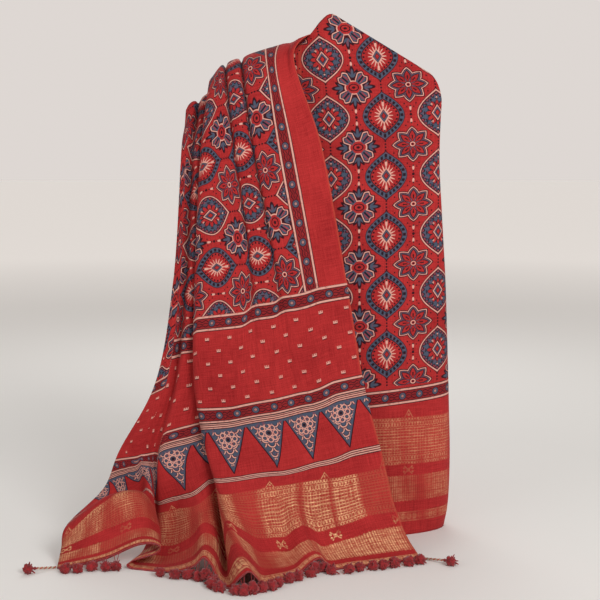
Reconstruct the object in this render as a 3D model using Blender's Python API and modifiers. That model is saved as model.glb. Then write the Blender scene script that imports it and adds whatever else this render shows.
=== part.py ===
"""A length of ajrakh-printed cloth, draped: a smooth wrapped panel and a pleated end with a pompom fringe.

Metres, +Z up, the surface it rests on at z = 0. The front faces -Y. The cloth falls from a slanting ridge.
The "body" is the wrapped panel, open underneath. The "end" is the pleated length that comes over the left
part of the ridge and flows forward over the surface. Both are one piece of cloth and one solid.
"""

import math
from collections import namedtuple

import bpy
import bmesh
import numpy as np
from mathutils import Matrix, Vector

# ---- driving dimensions -------------------------------------------------------------------------
THICK = 0.0022  # the cloth as modelled
HEIGHT = 0.9225  # the ridge's peak
ORIGIN = 0.088, 0.093, 0.0  # all that follows is moved by this much, to stand on the origin

# The ridge that the cloth falls from, left to right.
RidgePoint = namedtuple("RidgePoint", "x z")
RIDGE = [
    RidgePoint(-0.205, 0.735),
    RidgePoint(-0.186, 0.767),
    RidgePoint(-0.158, 0.783),
    RidgePoint(-0.145, 0.789),
    RidgePoint(-0.125, 0.801),
    RidgePoint(-0.104, 0.810),
    RidgePoint(-0.045, 0.838),
    RidgePoint(0.000, 0.862),
    RidgePoint(0.0174, 0.8870),
    RidgePoint(0.0400, 0.9190),
    RidgePoint(0.0550, HEIGHT),
    RidgePoint(0.0700, 0.9185),
    RidgePoint(0.2300, 0.8230),
    RidgePoint(0.2500, 0.8100),
]
RIDGE_Y = 0.035

# The wrapped panel's outline by share of the ridge's height: its ends, and half its depth.
BodyLevel = namedtuple("BodyLevel", "share left right half_depth")
BODY = [
    BodyLevel(0.000, -0.200, 0.2660, 0.085),
    BodyLevel(0.045, -0.200, 0.2725, 0.083),
    BodyLevel(0.150, -0.200, 0.2755, 0.078),
    BodyLevel(0.280, -0.199, 0.2725, 0.070),
    BodyLevel(0.420, -0.198, 0.2680, 0.061),
    BodyLevel(0.560, -0.196, 0.2628, 0.051),
    BodyLevel(0.700, -0.193, 0.2550, 0.040),
    BodyLevel(0.820, -0.190, 0.2490, 0.030),
    BodyLevel(0.910, -0.187, 0.2500, 0.021),
    BodyLevel(0.955, -0.184, 0.2510, 0.016),
    BodyLevel(0.982, -0.180, 0.2450, 0.0115),
    BodyLevel(0.994, -0.174, 0.2380, 0.0080),
    BodyLevel(1.000, -0.168, 0.2310, 0.0045),
]
BODY_AROUND = 40

# The pleated end. Each row is one line of the cloth, from its right selvedge to its left one. depth is how
# far it lies behind the front layer, and the last four are where it passes the levels HIGH, MID, LOW and KNEE.
Pleat = namedtuple("Pleat", "name depth crest_x crest_z high mid low knee")
PLEATS = [
    Pleat("selvedge", 0.008, 0.008, 0.8840, 0.036, 0.081, 0.112, 0.142),
    Pleat("plain strip", 0.004, -0.040, 0.8605, -0.015, 0.029, 0.060, 0.090),
    Pleat("circle band", 0.000, -0.064, 0.8545, -0.040, 0.004, 0.033, 0.063),
    Pleat("right lip", 0.000, -0.098, 0.8430, -0.078, -0.033, -0.002, 0.026),
    Pleat("right groove", 0.013, -0.1035, 0.8330, -0.083, -0.040, -0.024, 0.000),
    Pleat("pleat right", 0.000, -0.109, 0.8395, -0.088, -0.047, -0.046, -0.028),
    Pleat("pleat left", 0.000, -0.126, 0.8330, -0.110, -0.078, -0.072, -0.060),
    Pleat("left groove", 0.012, -0.1315, 0.8230, -0.1155, -0.085, -0.095, -0.085),
    Pleat("left lip", 0.000, -0.137, 0.8280, -0.121, -0.093, -0.118, -0.110),
    Pleat("first fold in", 0.000, -0.1535, 0.8070, -0.163, -0.175, -0.1755, -0.151),
    Pleat("first fold", 0.010, -0.1595, 0.7980, -0.170, -0.182, -0.1825, -0.160),
    Pleat("first fold out", 0.020, -0.1535, 0.7930, -0.163, -0.175, -0.1755, -0.156),
    Pleat("return", 0.020, -0.125, 0.8110, -0.140, -0.150, -0.150, -0.144),
    Pleat("inner turn in", 0.020, -0.104, 0.8190, -0.116, -0.126, -0.126, -0.132),
    Pleat("inner turn", 0.0235, -0.100, 0.8150, -0.112, -0.122, -0.122, -0.129),
    Pleat("inner turn out", 0.027, -0.104, 0.8110, -0.116, -0.126, -0.126, -0.136),
    Pleat("second a", 0.027, -0.125, 0.8020, -0.135, -0.145, -0.150, -0.165),
    Pleat("second b", 0.026, -0.145, 0.7905, -0.152, -0.160, -0.172, -0.192),
    Pleat("second c", 0.024, -0.161, 0.7830, -0.165, -0.174, -0.190, -0.215),
    Pleat("second lip", 0.020, -0.172, 0.7795, -0.177, -0.190, -0.210, -0.236),
    Pleat("left turn in", 0.023, -0.175, 0.7770, -0.181, -0.194, -0.215, -0.244),
    Pleat("left turn", 0.031, -0.1775, 0.7730, -0.184, -0.197, -0.218, -0.249),
    Pleat("left turn out", 0.036, -0.180, 0.7700, -0.187, -0.200, -0.221, -0.254),
    Pleat("right turn in", 0.034, -0.1825, 0.7710, -0.190, -0.203, -0.224, -0.259),
    Pleat("right turn", 0.028, -0.185, 0.7735, -0.193, -0.206, -0.228, -0.265),
    Pleat("right turn out", 0.025, -0.188, 0.7740, -0.196, -0.209, -0.233, -0.273),
    Pleat("third a", 0.024, -0.192, 0.7725, -0.199, -0.212, -0.238, -0.282),
    Pleat("third b", 0.025, -0.197, 0.7680, -0.202, -0.216, -0.246, -0.298),
    Pleat("left selvedge", 0.028, -0.202, 0.7590, -0.205, -0.221, -0.254, -0.316),
]

# The same lines where they run out over the surface: rise is above the foot of the fall, and hem is its end.
# tuck is how far a line dips behind the hump of the left flap, and dip_at how far on it does so.
Lying = namedtuple("Lying", "tuck dip_at rise_x rise_y rise_z foot_x foot_y foot_z hem_x hem_y hem_z")
LYING = [
    Lying(0, 0.6, 0.160, -0.128, 0.090, 0.184, -0.140, 0.030, 0.205, -0.159, 0.000),  # selvedge
    Lying(0, 0.6, 0.108, -0.138, 0.086, 0.134, -0.158, 0.024, 0.154, -0.178, 0.000),
    Lying(0, 0.6, 0.080, -0.141, 0.084, 0.105, -0.163, 0.022, 0.125, -0.189, 0.000),
    Lying(0, 0.6, 0.045, -0.145, 0.082, 0.070, -0.171, 0.020, 0.090, -0.200, 0.000),  # right lip
    Lying(0, 0.6, 0.020, -0.148, 0.080, 0.040, -0.176, 0.020, 0.053, -0.210, 0.000),
    Lying(0, 0.6, -0.008, -0.152, 0.086, 0.015, -0.178, 0.038, 0.033, -0.206, 0.018),  # low arch
    Lying(0, 0.6, -0.036, -0.152, 0.084, -0.018, -0.190, 0.020, -0.006, -0.234, 0.000),
    Lying(0, 0.6, -0.060, -0.156, 0.086, -0.044, -0.206, 0.018, -0.034, -0.262, 0.000),
    Lying(0, 0.6, -0.085, -0.160, 0.090, -0.066, -0.222, 0.020, -0.058, -0.286, 0.000),  # left lip
    Lying(0, 0.6, -0.122, -0.172, 0.104, -0.088, -0.248, 0.044, -0.068, -0.306, 0.020),
    Lying(0, 0.6, -0.130, -0.170, 0.104, -0.100, -0.246, 0.052, -0.080, -0.311, 0.033),  # first arch
    Lying(0, 0.6, -0.136, -0.160, 0.094, -0.112, -0.236, 0.042, -0.094, -0.309, 0.022),
    Lying(0, 0.6, -0.134, -0.146, 0.078, -0.120, -0.214, 0.018, -0.110, -0.300, 0.002),
    Lying(0, 0.6, -0.128, -0.134, 0.068, -0.120, -0.200, 0.008, -0.118, -0.291, 0.000),
    Lying(0, 0.6, -0.126, -0.126, 0.066, -0.123, -0.190, 0.006, -0.124, -0.282, 0.000),  # valley
    Lying(0, 0.6, -0.134, -0.124, 0.072, -0.128, -0.184, 0.014, -0.131, -0.272, 0.002),
    Lying(0, 0.6, -0.152, -0.132, 0.092, -0.142, -0.188, 0.042, -0.141, -0.259, 0.022),
    Lying(0, 0.6, -0.172, -0.134, 0.098, -0.160, -0.186, 0.050, -0.155, -0.250, 0.034),  # second arch
    Lying(0, 0.6, -0.192, -0.126, 0.084, -0.182, -0.176, 0.030, -0.174, -0.243, 0.016),
    Lying(0, 0.6, -0.216, -0.112, 0.062, -0.222, -0.158, 0.008, -0.222, -0.224, 0.000),  # second lip
    Lying(0, 0.6, -0.244, -0.102, 0.054, -0.258, -0.154, 0.003, -0.276, -0.2075, 0.000),
    Lying(0, 0.6, -0.252, -0.092, 0.053, -0.267, -0.146, 0.009, -0.285, -0.206, 0.006),  # left turn
    Lying(0, 0.6, -0.255, -0.092, 0.062, -0.260, -0.139, 0.017, -0.276, -0.202, 0.0125),
    Lying(0, 0.6, -0.253, -0.100, 0.070, -0.244, -0.133, 0.027, -0.240, -0.184, 0.019),
    Lying(0, 0.6, -0.251, -0.110, 0.078, -0.238, -0.136, 0.037, -0.233, -0.182, 0.027),  # right turn
    Lying(0.010, 0.5, -0.256, -0.119, 0.088, -0.244, -0.143, 0.048, -0.240, -0.184, 0.035),
    Lying(0.044, 0.5, -0.276, -0.134, 0.110, -0.266, -0.158, 0.064, -0.266, -0.191, 0.038),
    Lying(0.044, 0.5, -0.326, -0.144, 0.104, -0.326, -0.172, 0.052, -0.326, -0.202, 0.016),
    Lying(0.026, 0.3, -0.398, -0.156, 0.052, -0.400, -0.178, 0.024, -0.402, -0.205, 0.000),
]

# Levels that the hanging part passes: height, and where its front layer stands.
Level = namedtuple("Level", "z y")
HIGH, MID, LOW, KNEE = Level(0.700, -0.045), Level(0.460, -0.070), Level(0.280, -0.090), Level(0.165, -0.112)
GROOVE_LEFT_AT_MID = 0.45  # of a groove's depth
FLOOR_REACH = 0.05  # below this height the sheet is lifted by up to half its thickness
BACK_DROP = 0.30  # how far the end hangs down behind the ridge
DEEPEST_LAYER = 0.032
SQUARENESS = 2.0, 5.0  # the body section's roundness below (2 is an ellipse) and at the ridge

PLEAT_STEPS = 2
FALL_ROWS = 34

# The fringe: a heading strip sewn to the hem, and a pompom on a short string at each step along it.
GAP = 0.0006
HEADING = 0.0028
HEADING_THICK = 0.0012
POMPOM_STEP = 0.0215
POMPOM_HALF = 0.0070
STRING_HALF = 0.0005
STRING_LENGTH = 0.0120
HANGING_FROM = 0.010  # a hem this high lets its pompoms hang
HANGING_REACH = 0.011  # and this far in front of it
FORWARD = 0.6  # how far the pompoms are combed to the front
TUCKED_UNDER = 19.0, 26.5  # between these places, counted in lines, the S fold covers the hem

# The twisted cords at the hem's corners, each ending in a pompom.
Tassel = namedtuple("Tassel", "name start_x start_y end_x end_y")
TASSELS = [
    Tassel("corner_tassel_right", 0.2071, -0.1607, 0.2520, -0.1920),
    Tassel("corner_tassel_left", -0.4033, -0.2056, -0.4430, -0.2300),
]
# Stops along a pompom and its half width there, in half sizes.
POMPOM_PROFILE = [(-0.95, 0.55), (-0.35, 1.0), (0.45, 1.0), (1.0, 0.5)]
CORD_RADIUS = 0.0015
CORD_SIDES = 6
TASSEL_POMPOM = 0.0085

# Finishes: colour and roughness.
Finish = namedtuple("Finish", "red green blue roughness")
PRINTED_CLOTH = Finish(0.50, 0.035, 0.04, 0.75)
POMPOM_WOOL = Finish(0.24, 0.012, 0.022, 0.95)
TASSEL_CORD = Finish(0.42, 0.06, 0.04, 0.7)


# ---- curves -------------------------------------------------------------------------------------
def smooth(points, places):
    """Points of a centripetal Catmull-Rom curve through points, at places counted in spans."""
    points = np.asarray(points, float)
    gaps = np.sqrt(np.linalg.norm(np.diff(points, axis=0), axis=1)).clip(1e-5)
    slopes = np.diff(points, axis=0) / gaps[:, None]
    tangents = np.empty_like(points)
    tangents[0], tangents[-1] = slopes[0], slopes[-1]
    before, after = gaps[:-1, None], gaps[1:, None]
    tangents[1:-1] = (slopes[:-1] * after + slopes[1:] * before) / (before + after)
    places = np.clip(np.asarray(places, float), 0, len(points) - 1)
    span = np.minimum(places.astype(int), len(points) - 2)
    t = (places - span)[:, None]
    reach = gaps[span][:, None]
    return (
        (2 * t**3 - 3 * t**2 + 1) * points[span]
        + (t**3 - 2 * t**2 + t) * reach * tangents[span]
        + (3 * t**2 - 2 * t**3) * points[span + 1]
        + (t**3 - t**2) * reach * tangents[span + 1]
    )


def evenly(points, count):
    """count places, in spans, that are evenly spaced along the smooth curve through points."""
    fine = np.linspace(0, len(points) - 1, 40 * len(points))
    steps = np.linalg.norm(np.diff(smooth(points, fine), axis=0), axis=1)
    along = np.concatenate([[0], np.cumsum(steps)])
    return np.interp(np.linspace(0, along[-1], count), along, fine)


def ridge_height(x):
    return np.interp(x, [p.x for p in RIDGE], [p.z for p in RIDGE])


# ---- the wrapped panel --------------------------------------------------------------------------
def body_loop(level):
    """One closed section of the wrapped panel, from its left end along the front to the right and back."""
    middle, half = (level.left + level.right) / 2, (level.right - level.left) / 2
    power = SQUARENESS[0] + (SQUARENESS[1] - SQUARENESS[0]) * level.share**4
    turn = np.linspace(0, 2 * math.pi, BODY_AROUND, endpoint=False)
    x = middle - half * np.cos(turn)
    bulge = (1 - np.abs(np.cos(turn)) ** power).clip(0) ** (1 / power)
    y = RIDGE_Y - level.half_depth * bulge * np.sign(np.sin(turn).round(9))
    return np.stack([x, y, level.share * ridge_height(x)], axis=1)


def body_surface():
    """The wrapped panel's outer surface, open underneath and closed along the ridge."""
    rows = [body_loop(level) for level in BODY]
    faces = grid_faces(len(rows), BODY_AROUND, wraps=True)
    top = (len(rows) - 1) * BODY_AROUND
    half = BODY_AROUND // 2
    for i in range(half):
        a, b = top + i, top + i + 1
        d, c = top + (BODY_AROUND - i) % BODY_AROUND, top + BODY_AROUND - i - 1
        corners = [a, b, c, d] if a != d and b != c else [a, b, c] if a == d else [a, b, d]
        faces.append(corners)
    return np.concatenate(rows), faces


# ---- the pleated end ----------------------------------------------------------------------------
def fall_of(pleat, lying):
    """The stations of one line of the pleated end, from its end behind the ridge to its hem."""
    layer = DEEPEST_LAYER - min(pleat.depth, DEEPEST_LAYER)
    mid_depth = pleat.depth * (GROOVE_LEFT_AT_MID if "groove" in pleat.name else 1)
    low_depth = 0 if pleat.name in ("left groove", "right groove") else mid_depth
    x, top = pleat.crest_x, pleat.crest_z
    knee = np.array((pleat.knee, KNEE.y + low_depth, KNEE.z))
    rise, foot, hem = (np.array(lying[i : i + 3]) for i in (2, 5, 8))
    dip = knee + lying.dip_at * (rise - knee) + lying.tuck * np.array((0, 0.6, -1))
    return [
        (x * 1.02, RIDGE_Y + 0.075 + layer, top - BACK_DROP),
        (x * 1.01, RIDGE_Y + 0.056 + layer, top - BACK_DROP / 2),
        (x, RIDGE_Y + 0.026 + layer, top - 0.030),
        (x, RIDGE_Y, top),
        (x + 0.2 * (pleat.high - x), RIDGE_Y - 0.052 + pleat.depth, top - 0.030),
        (pleat.high, HIGH.y + pleat.depth, HIGH.z),
        (pleat.mid, MID.y + mid_depth, MID.z),
        (pleat.low, LOW.y + low_depth, LOW.z),
        knee,
        dip,
        rise,
        foot,
        hem,
    ]


def end_surface(rows, steps):
    """Points of the pleated end as rows by lines, its middle surface."""
    falls = [fall_of(pleat, lying) for pleat, lying in zip(PLEATS, LYING)]
    places = evenly(falls[len(falls) // 3], rows)
    lines = np.stack([smooth(fall, places) for fall in falls])
    across = np.linspace(0, len(falls) - 1, (len(falls) - 1) * steps + 1)
    grid = np.stack([smooth(lines[:, row], across) for row in range(rows)])
    lift = THICK / 2 * np.clip(1 - grid[:, :, 2] / FLOOR_REACH, 0, 1)
    grid[:, :, 2] = np.maximum(grid[:, :, 2] + lift, THICK / 2)
    return grid


# ---- meshes -------------------------------------------------------------------------------------
def grid_faces(rows, columns, wraps=False):
    """Quads between rows of columns points each."""
    last = columns if wraps else columns - 1
    return [
        [r * columns + c, r * columns + d, (r + 1) * columns + d, (r + 1) * columns + c]
        for r in range(rows - 1)
        for c, d in [(c, (c + 1) % columns) for c in range(last)]
    ]


def tube_faces(rings):
    """A closed tube of square rings."""
    last = 4 * rings
    return grid_faces(rings, 4, wraps=True) + [[0, 1, 2, 3], [last - 1, last - 2, last - 3, last - 4]]


def mesh_object(name, points, faces, collection):
    mesh = bpy.data.meshes.new(name)
    mesh.from_pydata([tuple(p) for p in points], [], faces)
    obj = bpy.data.objects.new(name, mesh)
    collection.objects.link(obj)
    return obj


def thickened(obj, thickness, offset):
    """The object as a closed sheet of that thickness, resting flat on the surface at z = 0."""
    solid = obj.modifiers.new("thickness", "SOLIDIFY")
    solid.thickness = thickness
    solid.offset = offset
    solid.use_even_offset = False
    settle(obj)


def settle(obj):
    """Applies the object's modifiers and sets what lies on the surface exactly on it."""
    graph = bpy.context.evaluated_depsgraph_get()
    mesh = bpy.data.meshes.new_from_object(obj.evaluated_get(graph))
    obj.modifiers.clear()
    obj.data = mesh
    for vertex in mesh.vertices:
        if vertex.co.z < 0.25 * THICK:
            vertex.co.z = 0.0


def join(obj, other):
    """Makes one solid of the two, in obj."""
    union = obj.modifiers.new("union", "BOOLEAN")
    union.operation = "UNION"
    union.object = other
    union.use_self = True
    settle(obj)
    bpy.data.objects.remove(other)


# ---- the fringe ---------------------------------------------------------------------------------
def unit(vectors):
    return vectors / np.linalg.norm(vectors, axis=-1, keepdims=True)


def hem_frame(grid):
    """The hem's points, the way along it, and the way out of the cloth at each."""
    hem = grid[-1]
    along = unit(np.gradient(hem, axis=0))
    out = hem - grid[-2]
    return hem, along, unit(out - (out * along).sum(1, keepdims=True) * along)


def heading_strip(grid, collection):
    """The narrow strip along the hem that holds the strings."""
    hem, along, out = hem_frame(grid)
    up = np.cross(along, out)
    near, far = GAP, GAP + HEADING
    section = (near, -1), (far, -1), (far, 1), (near, 1)
    corners = [hem + out * reach + up * side * HEADING_THICK / 2 for reach, side in section]
    points = np.stack(corners, axis=1).reshape(-1, 3)
    points[:, 2] = points[:, 2].clip(0)
    return mesh_object("pompom_fringe", points, tube_faces(len(hem)), collection)


def lock(root, out):
    """One string with its pompom, square in section, from the strip outwards or down."""
    hangs = root[2] > HANGING_FROM
    flat = unit(np.array((out[0], out[1] - FORWARD, 0)))
    side = np.array((-flat[1], flat[0], 0))
    drop = max(POMPOM_HALF, root[2] - STRING_LENGTH - POMPOM_HALF) - root[2]
    reach = HANGING_REACH if hangs else STRING_LENGTH + POMPOM_HALF
    middle = root + flat * reach + np.array((0, 0, drop))
    way = unit(middle - root) if hangs else flat
    other = np.cross(way, side)
    length = np.linalg.norm(middle - root)
    rings = [(0, STRING_HALF), ((length - POMPOM_HALF) / length, STRING_HALF)]
    stops = [(root + share * (middle - root), half) for share, half in rings]
    stops += [(middle + way * POMPOM_HALF * along, POMPOM_HALF * half) for along, half in POMPOM_PROFILE]
    square = (-1, -1), (1, -1), (1, 1), (-1, 1)
    points = [p + a * half * side + b * half * other for p, half in stops for a, b in square]
    return np.array(points), tube_faces(len(stops))


def fringe(grid, collection):
    """The heading strip with its locks, as one solid."""
    strip = heading_strip(grid, collection)
    hem, _, out = hem_frame(grid)
    tucked = [int(place * PLEAT_STEPS) for place in TUCKED_UNDER]
    along = np.concatenate([[0], np.cumsum(np.linalg.norm(np.diff(hem, axis=0), axis=1))])
    roots = hem + out * (GAP + HEADING / 2)
    points, faces = [], []
    for place in np.arange(POMPOM_STEP / 2, along[-1], POMPOM_STEP):
        if along[tucked[0]] < place < along[tucked[1]]:
            continue
        root, way = (
            np.array([np.interp(place, along, values[:, k]) for k in range(3)]) for values in (roots, out)
        )
        more, sides = lock(root, way)
        faces += [[corner + len(points) * len(more) for corner in face] for face in sides]
        points.append(more)
    locks = mesh_object("locks", np.concatenate(points), faces, collection)
    for obj in (strip, locks):
        face_out(obj)
    join(strip, locks)
    return strip


def tassel(row, collection):
    """A corner's twisted cord with its pompom, lying on the surface."""
    start = Vector((row.start_x, row.start_y, CORD_RADIUS))
    end = Vector((row.end_x, row.end_y, TASSEL_POMPOM))
    way = (end - start).normalized()
    mesh = bmesh.new()
    ends = {"radius1": CORD_RADIUS, "radius2": CORD_RADIUS}
    bmesh.ops.create_cone(mesh, cap_ends=True, segments=CORD_SIDES, depth=(end - start).length, **ends)
    turn = way.to_track_quat("Z", "Y").to_matrix().to_4x4()
    bmesh.ops.transform(mesh, matrix=turn, verts=mesh.verts)
    bmesh.ops.translate(mesh, vec=(start + end) / 2, verts=mesh.verts)
    made = bpy.data.meshes.new(row.name)
    mesh.to_mesh(made)
    mesh.free()
    cord = bpy.data.objects.new(row.name, made)
    collection.objects.link(cord)
    ball = bmesh.new()
    bmesh.ops.create_uvsphere(ball, u_segments=8, v_segments=6, radius=TASSEL_POMPOM)
    bmesh.ops.translate(ball, vec=end, verts=ball.verts)
    round_part = bpy.data.meshes.new("pompom")
    ball.to_mesh(round_part)
    ball.free()
    pompom = bpy.data.objects.new("pompom", round_part)
    collection.objects.link(pompom)
    join(cord, pompom)
    return cord


def face_out(obj):
    mesh = bmesh.new()
    mesh.from_mesh(obj.data)
    bmesh.ops.recalc_face_normals(mesh, faces=mesh.faces)
    mesh.to_mesh(obj.data)
    mesh.free()


def finish(obj, name, look):
    """Gives the object a material of that name."""
    made = bpy.data.materials.new(name)
    made.use_nodes = True
    shader = made.node_tree.nodes["Principled BSDF"]
    shader.inputs["Base Color"].default_value = (look.red, look.green, look.blue, 1)
    shader.inputs["Roughness"].default_value = look.roughness
    shader.inputs["Metallic"].default_value = 0
    obj.data.materials.clear()
    obj.data.materials.append(made)


def main():
    for obj in list(bpy.data.objects):
        bpy.data.objects.remove(obj)
    parts = bpy.data.collections.new("Ajrakh cloth")
    bpy.context.scene.collection.children.link(parts)

    body = mesh_object("cloth", *body_surface(), parts)
    thickened(body, THICK, -1)
    grid = end_surface(FALL_ROWS, PLEAT_STEPS)
    rows, columns = grid.shape[:2]
    end = mesh_object("end", grid.reshape(-1, 3), grid_faces(rows, columns), parts)
    thickened(end, THICK, 0)
    join(body, end)
    finish(body, "printed_cloth", PRINTED_CLOTH)
    finish(fringe(grid, parts), "pompom_wool", POMPOM_WOOL)
    for row in TASSELS:
        finish(tassel(row, parts), "tassel_cord", TASSEL_CORD)
    for obj in parts.objects:
        obj.data.transform(Matrix.Translation(ORIGIN))


if __name__ == "__main__":
    main()
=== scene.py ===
"""A length of block-printed cloth, draped, as a Blender add-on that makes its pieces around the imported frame.

Metres, +Z up, the surface it rests on at z = 0, the front towards -Y. The charts are in the maker's own
frame, with the cloth's front layer near y = 0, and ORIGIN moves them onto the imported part.
"""

import math
from collections import namedtuple

import bmesh
import bpy
import numpy as np
from bpy.props import FloatProperty, FloatVectorProperty, IntProperty, PointerProperty
from bpy.types import Operator, Panel, PropertyGroup
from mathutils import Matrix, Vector


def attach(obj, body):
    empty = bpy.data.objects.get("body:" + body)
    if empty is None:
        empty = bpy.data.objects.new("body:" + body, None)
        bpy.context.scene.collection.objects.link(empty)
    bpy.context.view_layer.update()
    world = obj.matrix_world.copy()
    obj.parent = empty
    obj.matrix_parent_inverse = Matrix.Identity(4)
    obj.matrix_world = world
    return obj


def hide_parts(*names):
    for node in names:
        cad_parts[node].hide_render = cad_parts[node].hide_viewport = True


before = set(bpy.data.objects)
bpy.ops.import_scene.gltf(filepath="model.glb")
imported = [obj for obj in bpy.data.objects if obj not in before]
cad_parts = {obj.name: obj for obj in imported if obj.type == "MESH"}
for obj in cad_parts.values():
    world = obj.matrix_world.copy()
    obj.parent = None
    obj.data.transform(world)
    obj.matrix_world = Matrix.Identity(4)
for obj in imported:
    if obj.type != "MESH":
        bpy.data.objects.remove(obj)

bl_info = {
    "name": "Draped ajrakh cloth",
    "version": (1, 0, 0),
    "blender": (4, 5, 0),
    "location": "View3D > Sidebar > Drape",
    "description": "A printed cotton length with gold borders and a pompom fringe, draped in soft pleats",
    "category": "Add Mesh",
}

ORIGIN = 0.088, 0.093, 0.0


def chart(columns, *rows, defaults=()):
    """Rows with named columns. defaults are what the last columns hold where a row leaves them out."""
    kind = namedtuple("Row", columns, defaults=defaults)
    return [kind(*row) for row in rows]


# ---- the drape ----------------------------------------------------------------------------------
# The ridge that the cloth falls from, left to right.
HEIGHT = 0.928
RIDGE = chart(
    "x z",
    (-0.205, 0.735), (-0.186, 0.767), (-0.158, 0.783), (-0.145, 0.789), (-0.125, 0.801), (-0.104, 0.810),
    (-0.045, 0.846), (0.000, 0.873), (0.0174, 0.889), (0.040, 0.919), (0.055, HEIGHT), (0.070, 0.9185),
    (0.230, 0.823), (0.250, 0.815),
)
RIDGE_Y = 0.035

# The wrapped panel's outline by share of the ridge's height: its ends, and half its depth.
BODY = chart(
    "share left right half_depth",
    (0.000, -0.200, 0.266, 0.085), (0.045, -0.200, 0.2725, 0.083), (0.150, -0.200, 0.2755, 0.078),
    (0.280, -0.199, 0.2725, 0.070), (0.420, -0.198, 0.268, 0.061), (0.560, -0.196, 0.2628, 0.051),
    (0.700, -0.193, 0.255, 0.040), (0.820, -0.190, 0.249, 0.030), (0.910, -0.187, 0.250, 0.021),
    (0.955, -0.184, 0.251, 0.016), (0.982, -0.180, 0.245, 0.0115), (0.994, -0.174, 0.238, 0.008),
    (1.000, -0.168, 0.231, 0.0045),
)

# The pleated end. Each row is one line of the cloth, from its right selvedge to its left one. depth is how
# far it lies behind the front layer, crest is where it crosses the ridge, and the last four are where it
# passes the levels HIGH, MID, LOW and KNEE.
PLEATS = chart(
    "name depth crest_x crest_z high mid low knee",
    ("selvedge", 0.010, -0.012, 0.870, 0.036, 0.081, 0.112, 0.142),
    ("plain strip", 0.004, -0.040, 0.871, -0.015, 0.029, 0.060, 0.090),
    ("circle band", 0.000, -0.064, 0.864, -0.040, 0.004, 0.033, 0.063),
    ("right lip", 0.000, -0.098, 0.851, -0.078, -0.033, -0.002, 0.026),
    ("right groove", 0.013, -0.1035, 0.841, -0.083, -0.040, -0.024, 0.000),
    ("pleat right", 0.000, -0.109, 0.8475, -0.088, -0.047, -0.046, -0.028),
    ("pleat left", 0.000, -0.126, 0.842, -0.110, -0.078, -0.072, -0.060),
    ("left groove", 0.012, -0.1315, 0.832, -0.1155, -0.085, -0.095, -0.085),
    ("left lip", 0.000, -0.137, 0.837, -0.121, -0.093, -0.118, -0.110),
    ("first fold in", 0.000, -0.1535, 0.818, -0.163, -0.175, -0.1755, -0.151),
    ("first fold", 0.010, -0.1595, 0.809, -0.170, -0.182, -0.1825, -0.160),
    ("first fold out", 0.020, -0.1535, 0.804, -0.163, -0.175, -0.1755, -0.156),
    ("return", 0.020, -0.125, 0.817, -0.140, -0.150, -0.150, -0.144),
    ("inner turn in", 0.020, -0.104, 0.823, -0.116, -0.126, -0.126, -0.132),
    ("inner turn", 0.0235, -0.100, 0.819, -0.112, -0.122, -0.122, -0.129),
    ("inner turn out", 0.027, -0.104, 0.815, -0.116, -0.126, -0.126, -0.136),
    ("second a", 0.027, -0.125, 0.810, -0.135, -0.145, -0.150, -0.165),
    ("second b", 0.026, -0.145, 0.7985, -0.152, -0.160, -0.172, -0.192),
    ("second c", 0.024, -0.161, 0.789, -0.165, -0.174, -0.190, -0.215),
    ("second lip", 0.020, -0.172, 0.7815, -0.177, -0.190, -0.210, -0.236),
    ("left turn in", 0.023, -0.175, 0.777, -0.181, -0.194, -0.215, -0.244),
    ("left turn", 0.031, -0.1775, 0.773, -0.184, -0.197, -0.218, -0.249),
    ("left turn out", 0.036, -0.180, 0.770, -0.187, -0.200, -0.221, -0.254),
    ("right turn in", 0.034, -0.1825, 0.771, -0.190, -0.203, -0.224, -0.259),
    ("right turn", 0.028, -0.185, 0.7735, -0.193, -0.206, -0.228, -0.265),
    ("right turn out", 0.025, -0.188, 0.774, -0.196, -0.209, -0.233, -0.273),
    ("third a", 0.024, -0.192, 0.7725, -0.199, -0.212, -0.238, -0.282),
    ("third b", 0.025, -0.197, 0.768, -0.202, -0.216, -0.246, -0.298),
    ("left selvedge", 0.028, -0.202, 0.759, -0.205, -0.221, -0.254, -0.316),
)

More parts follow.
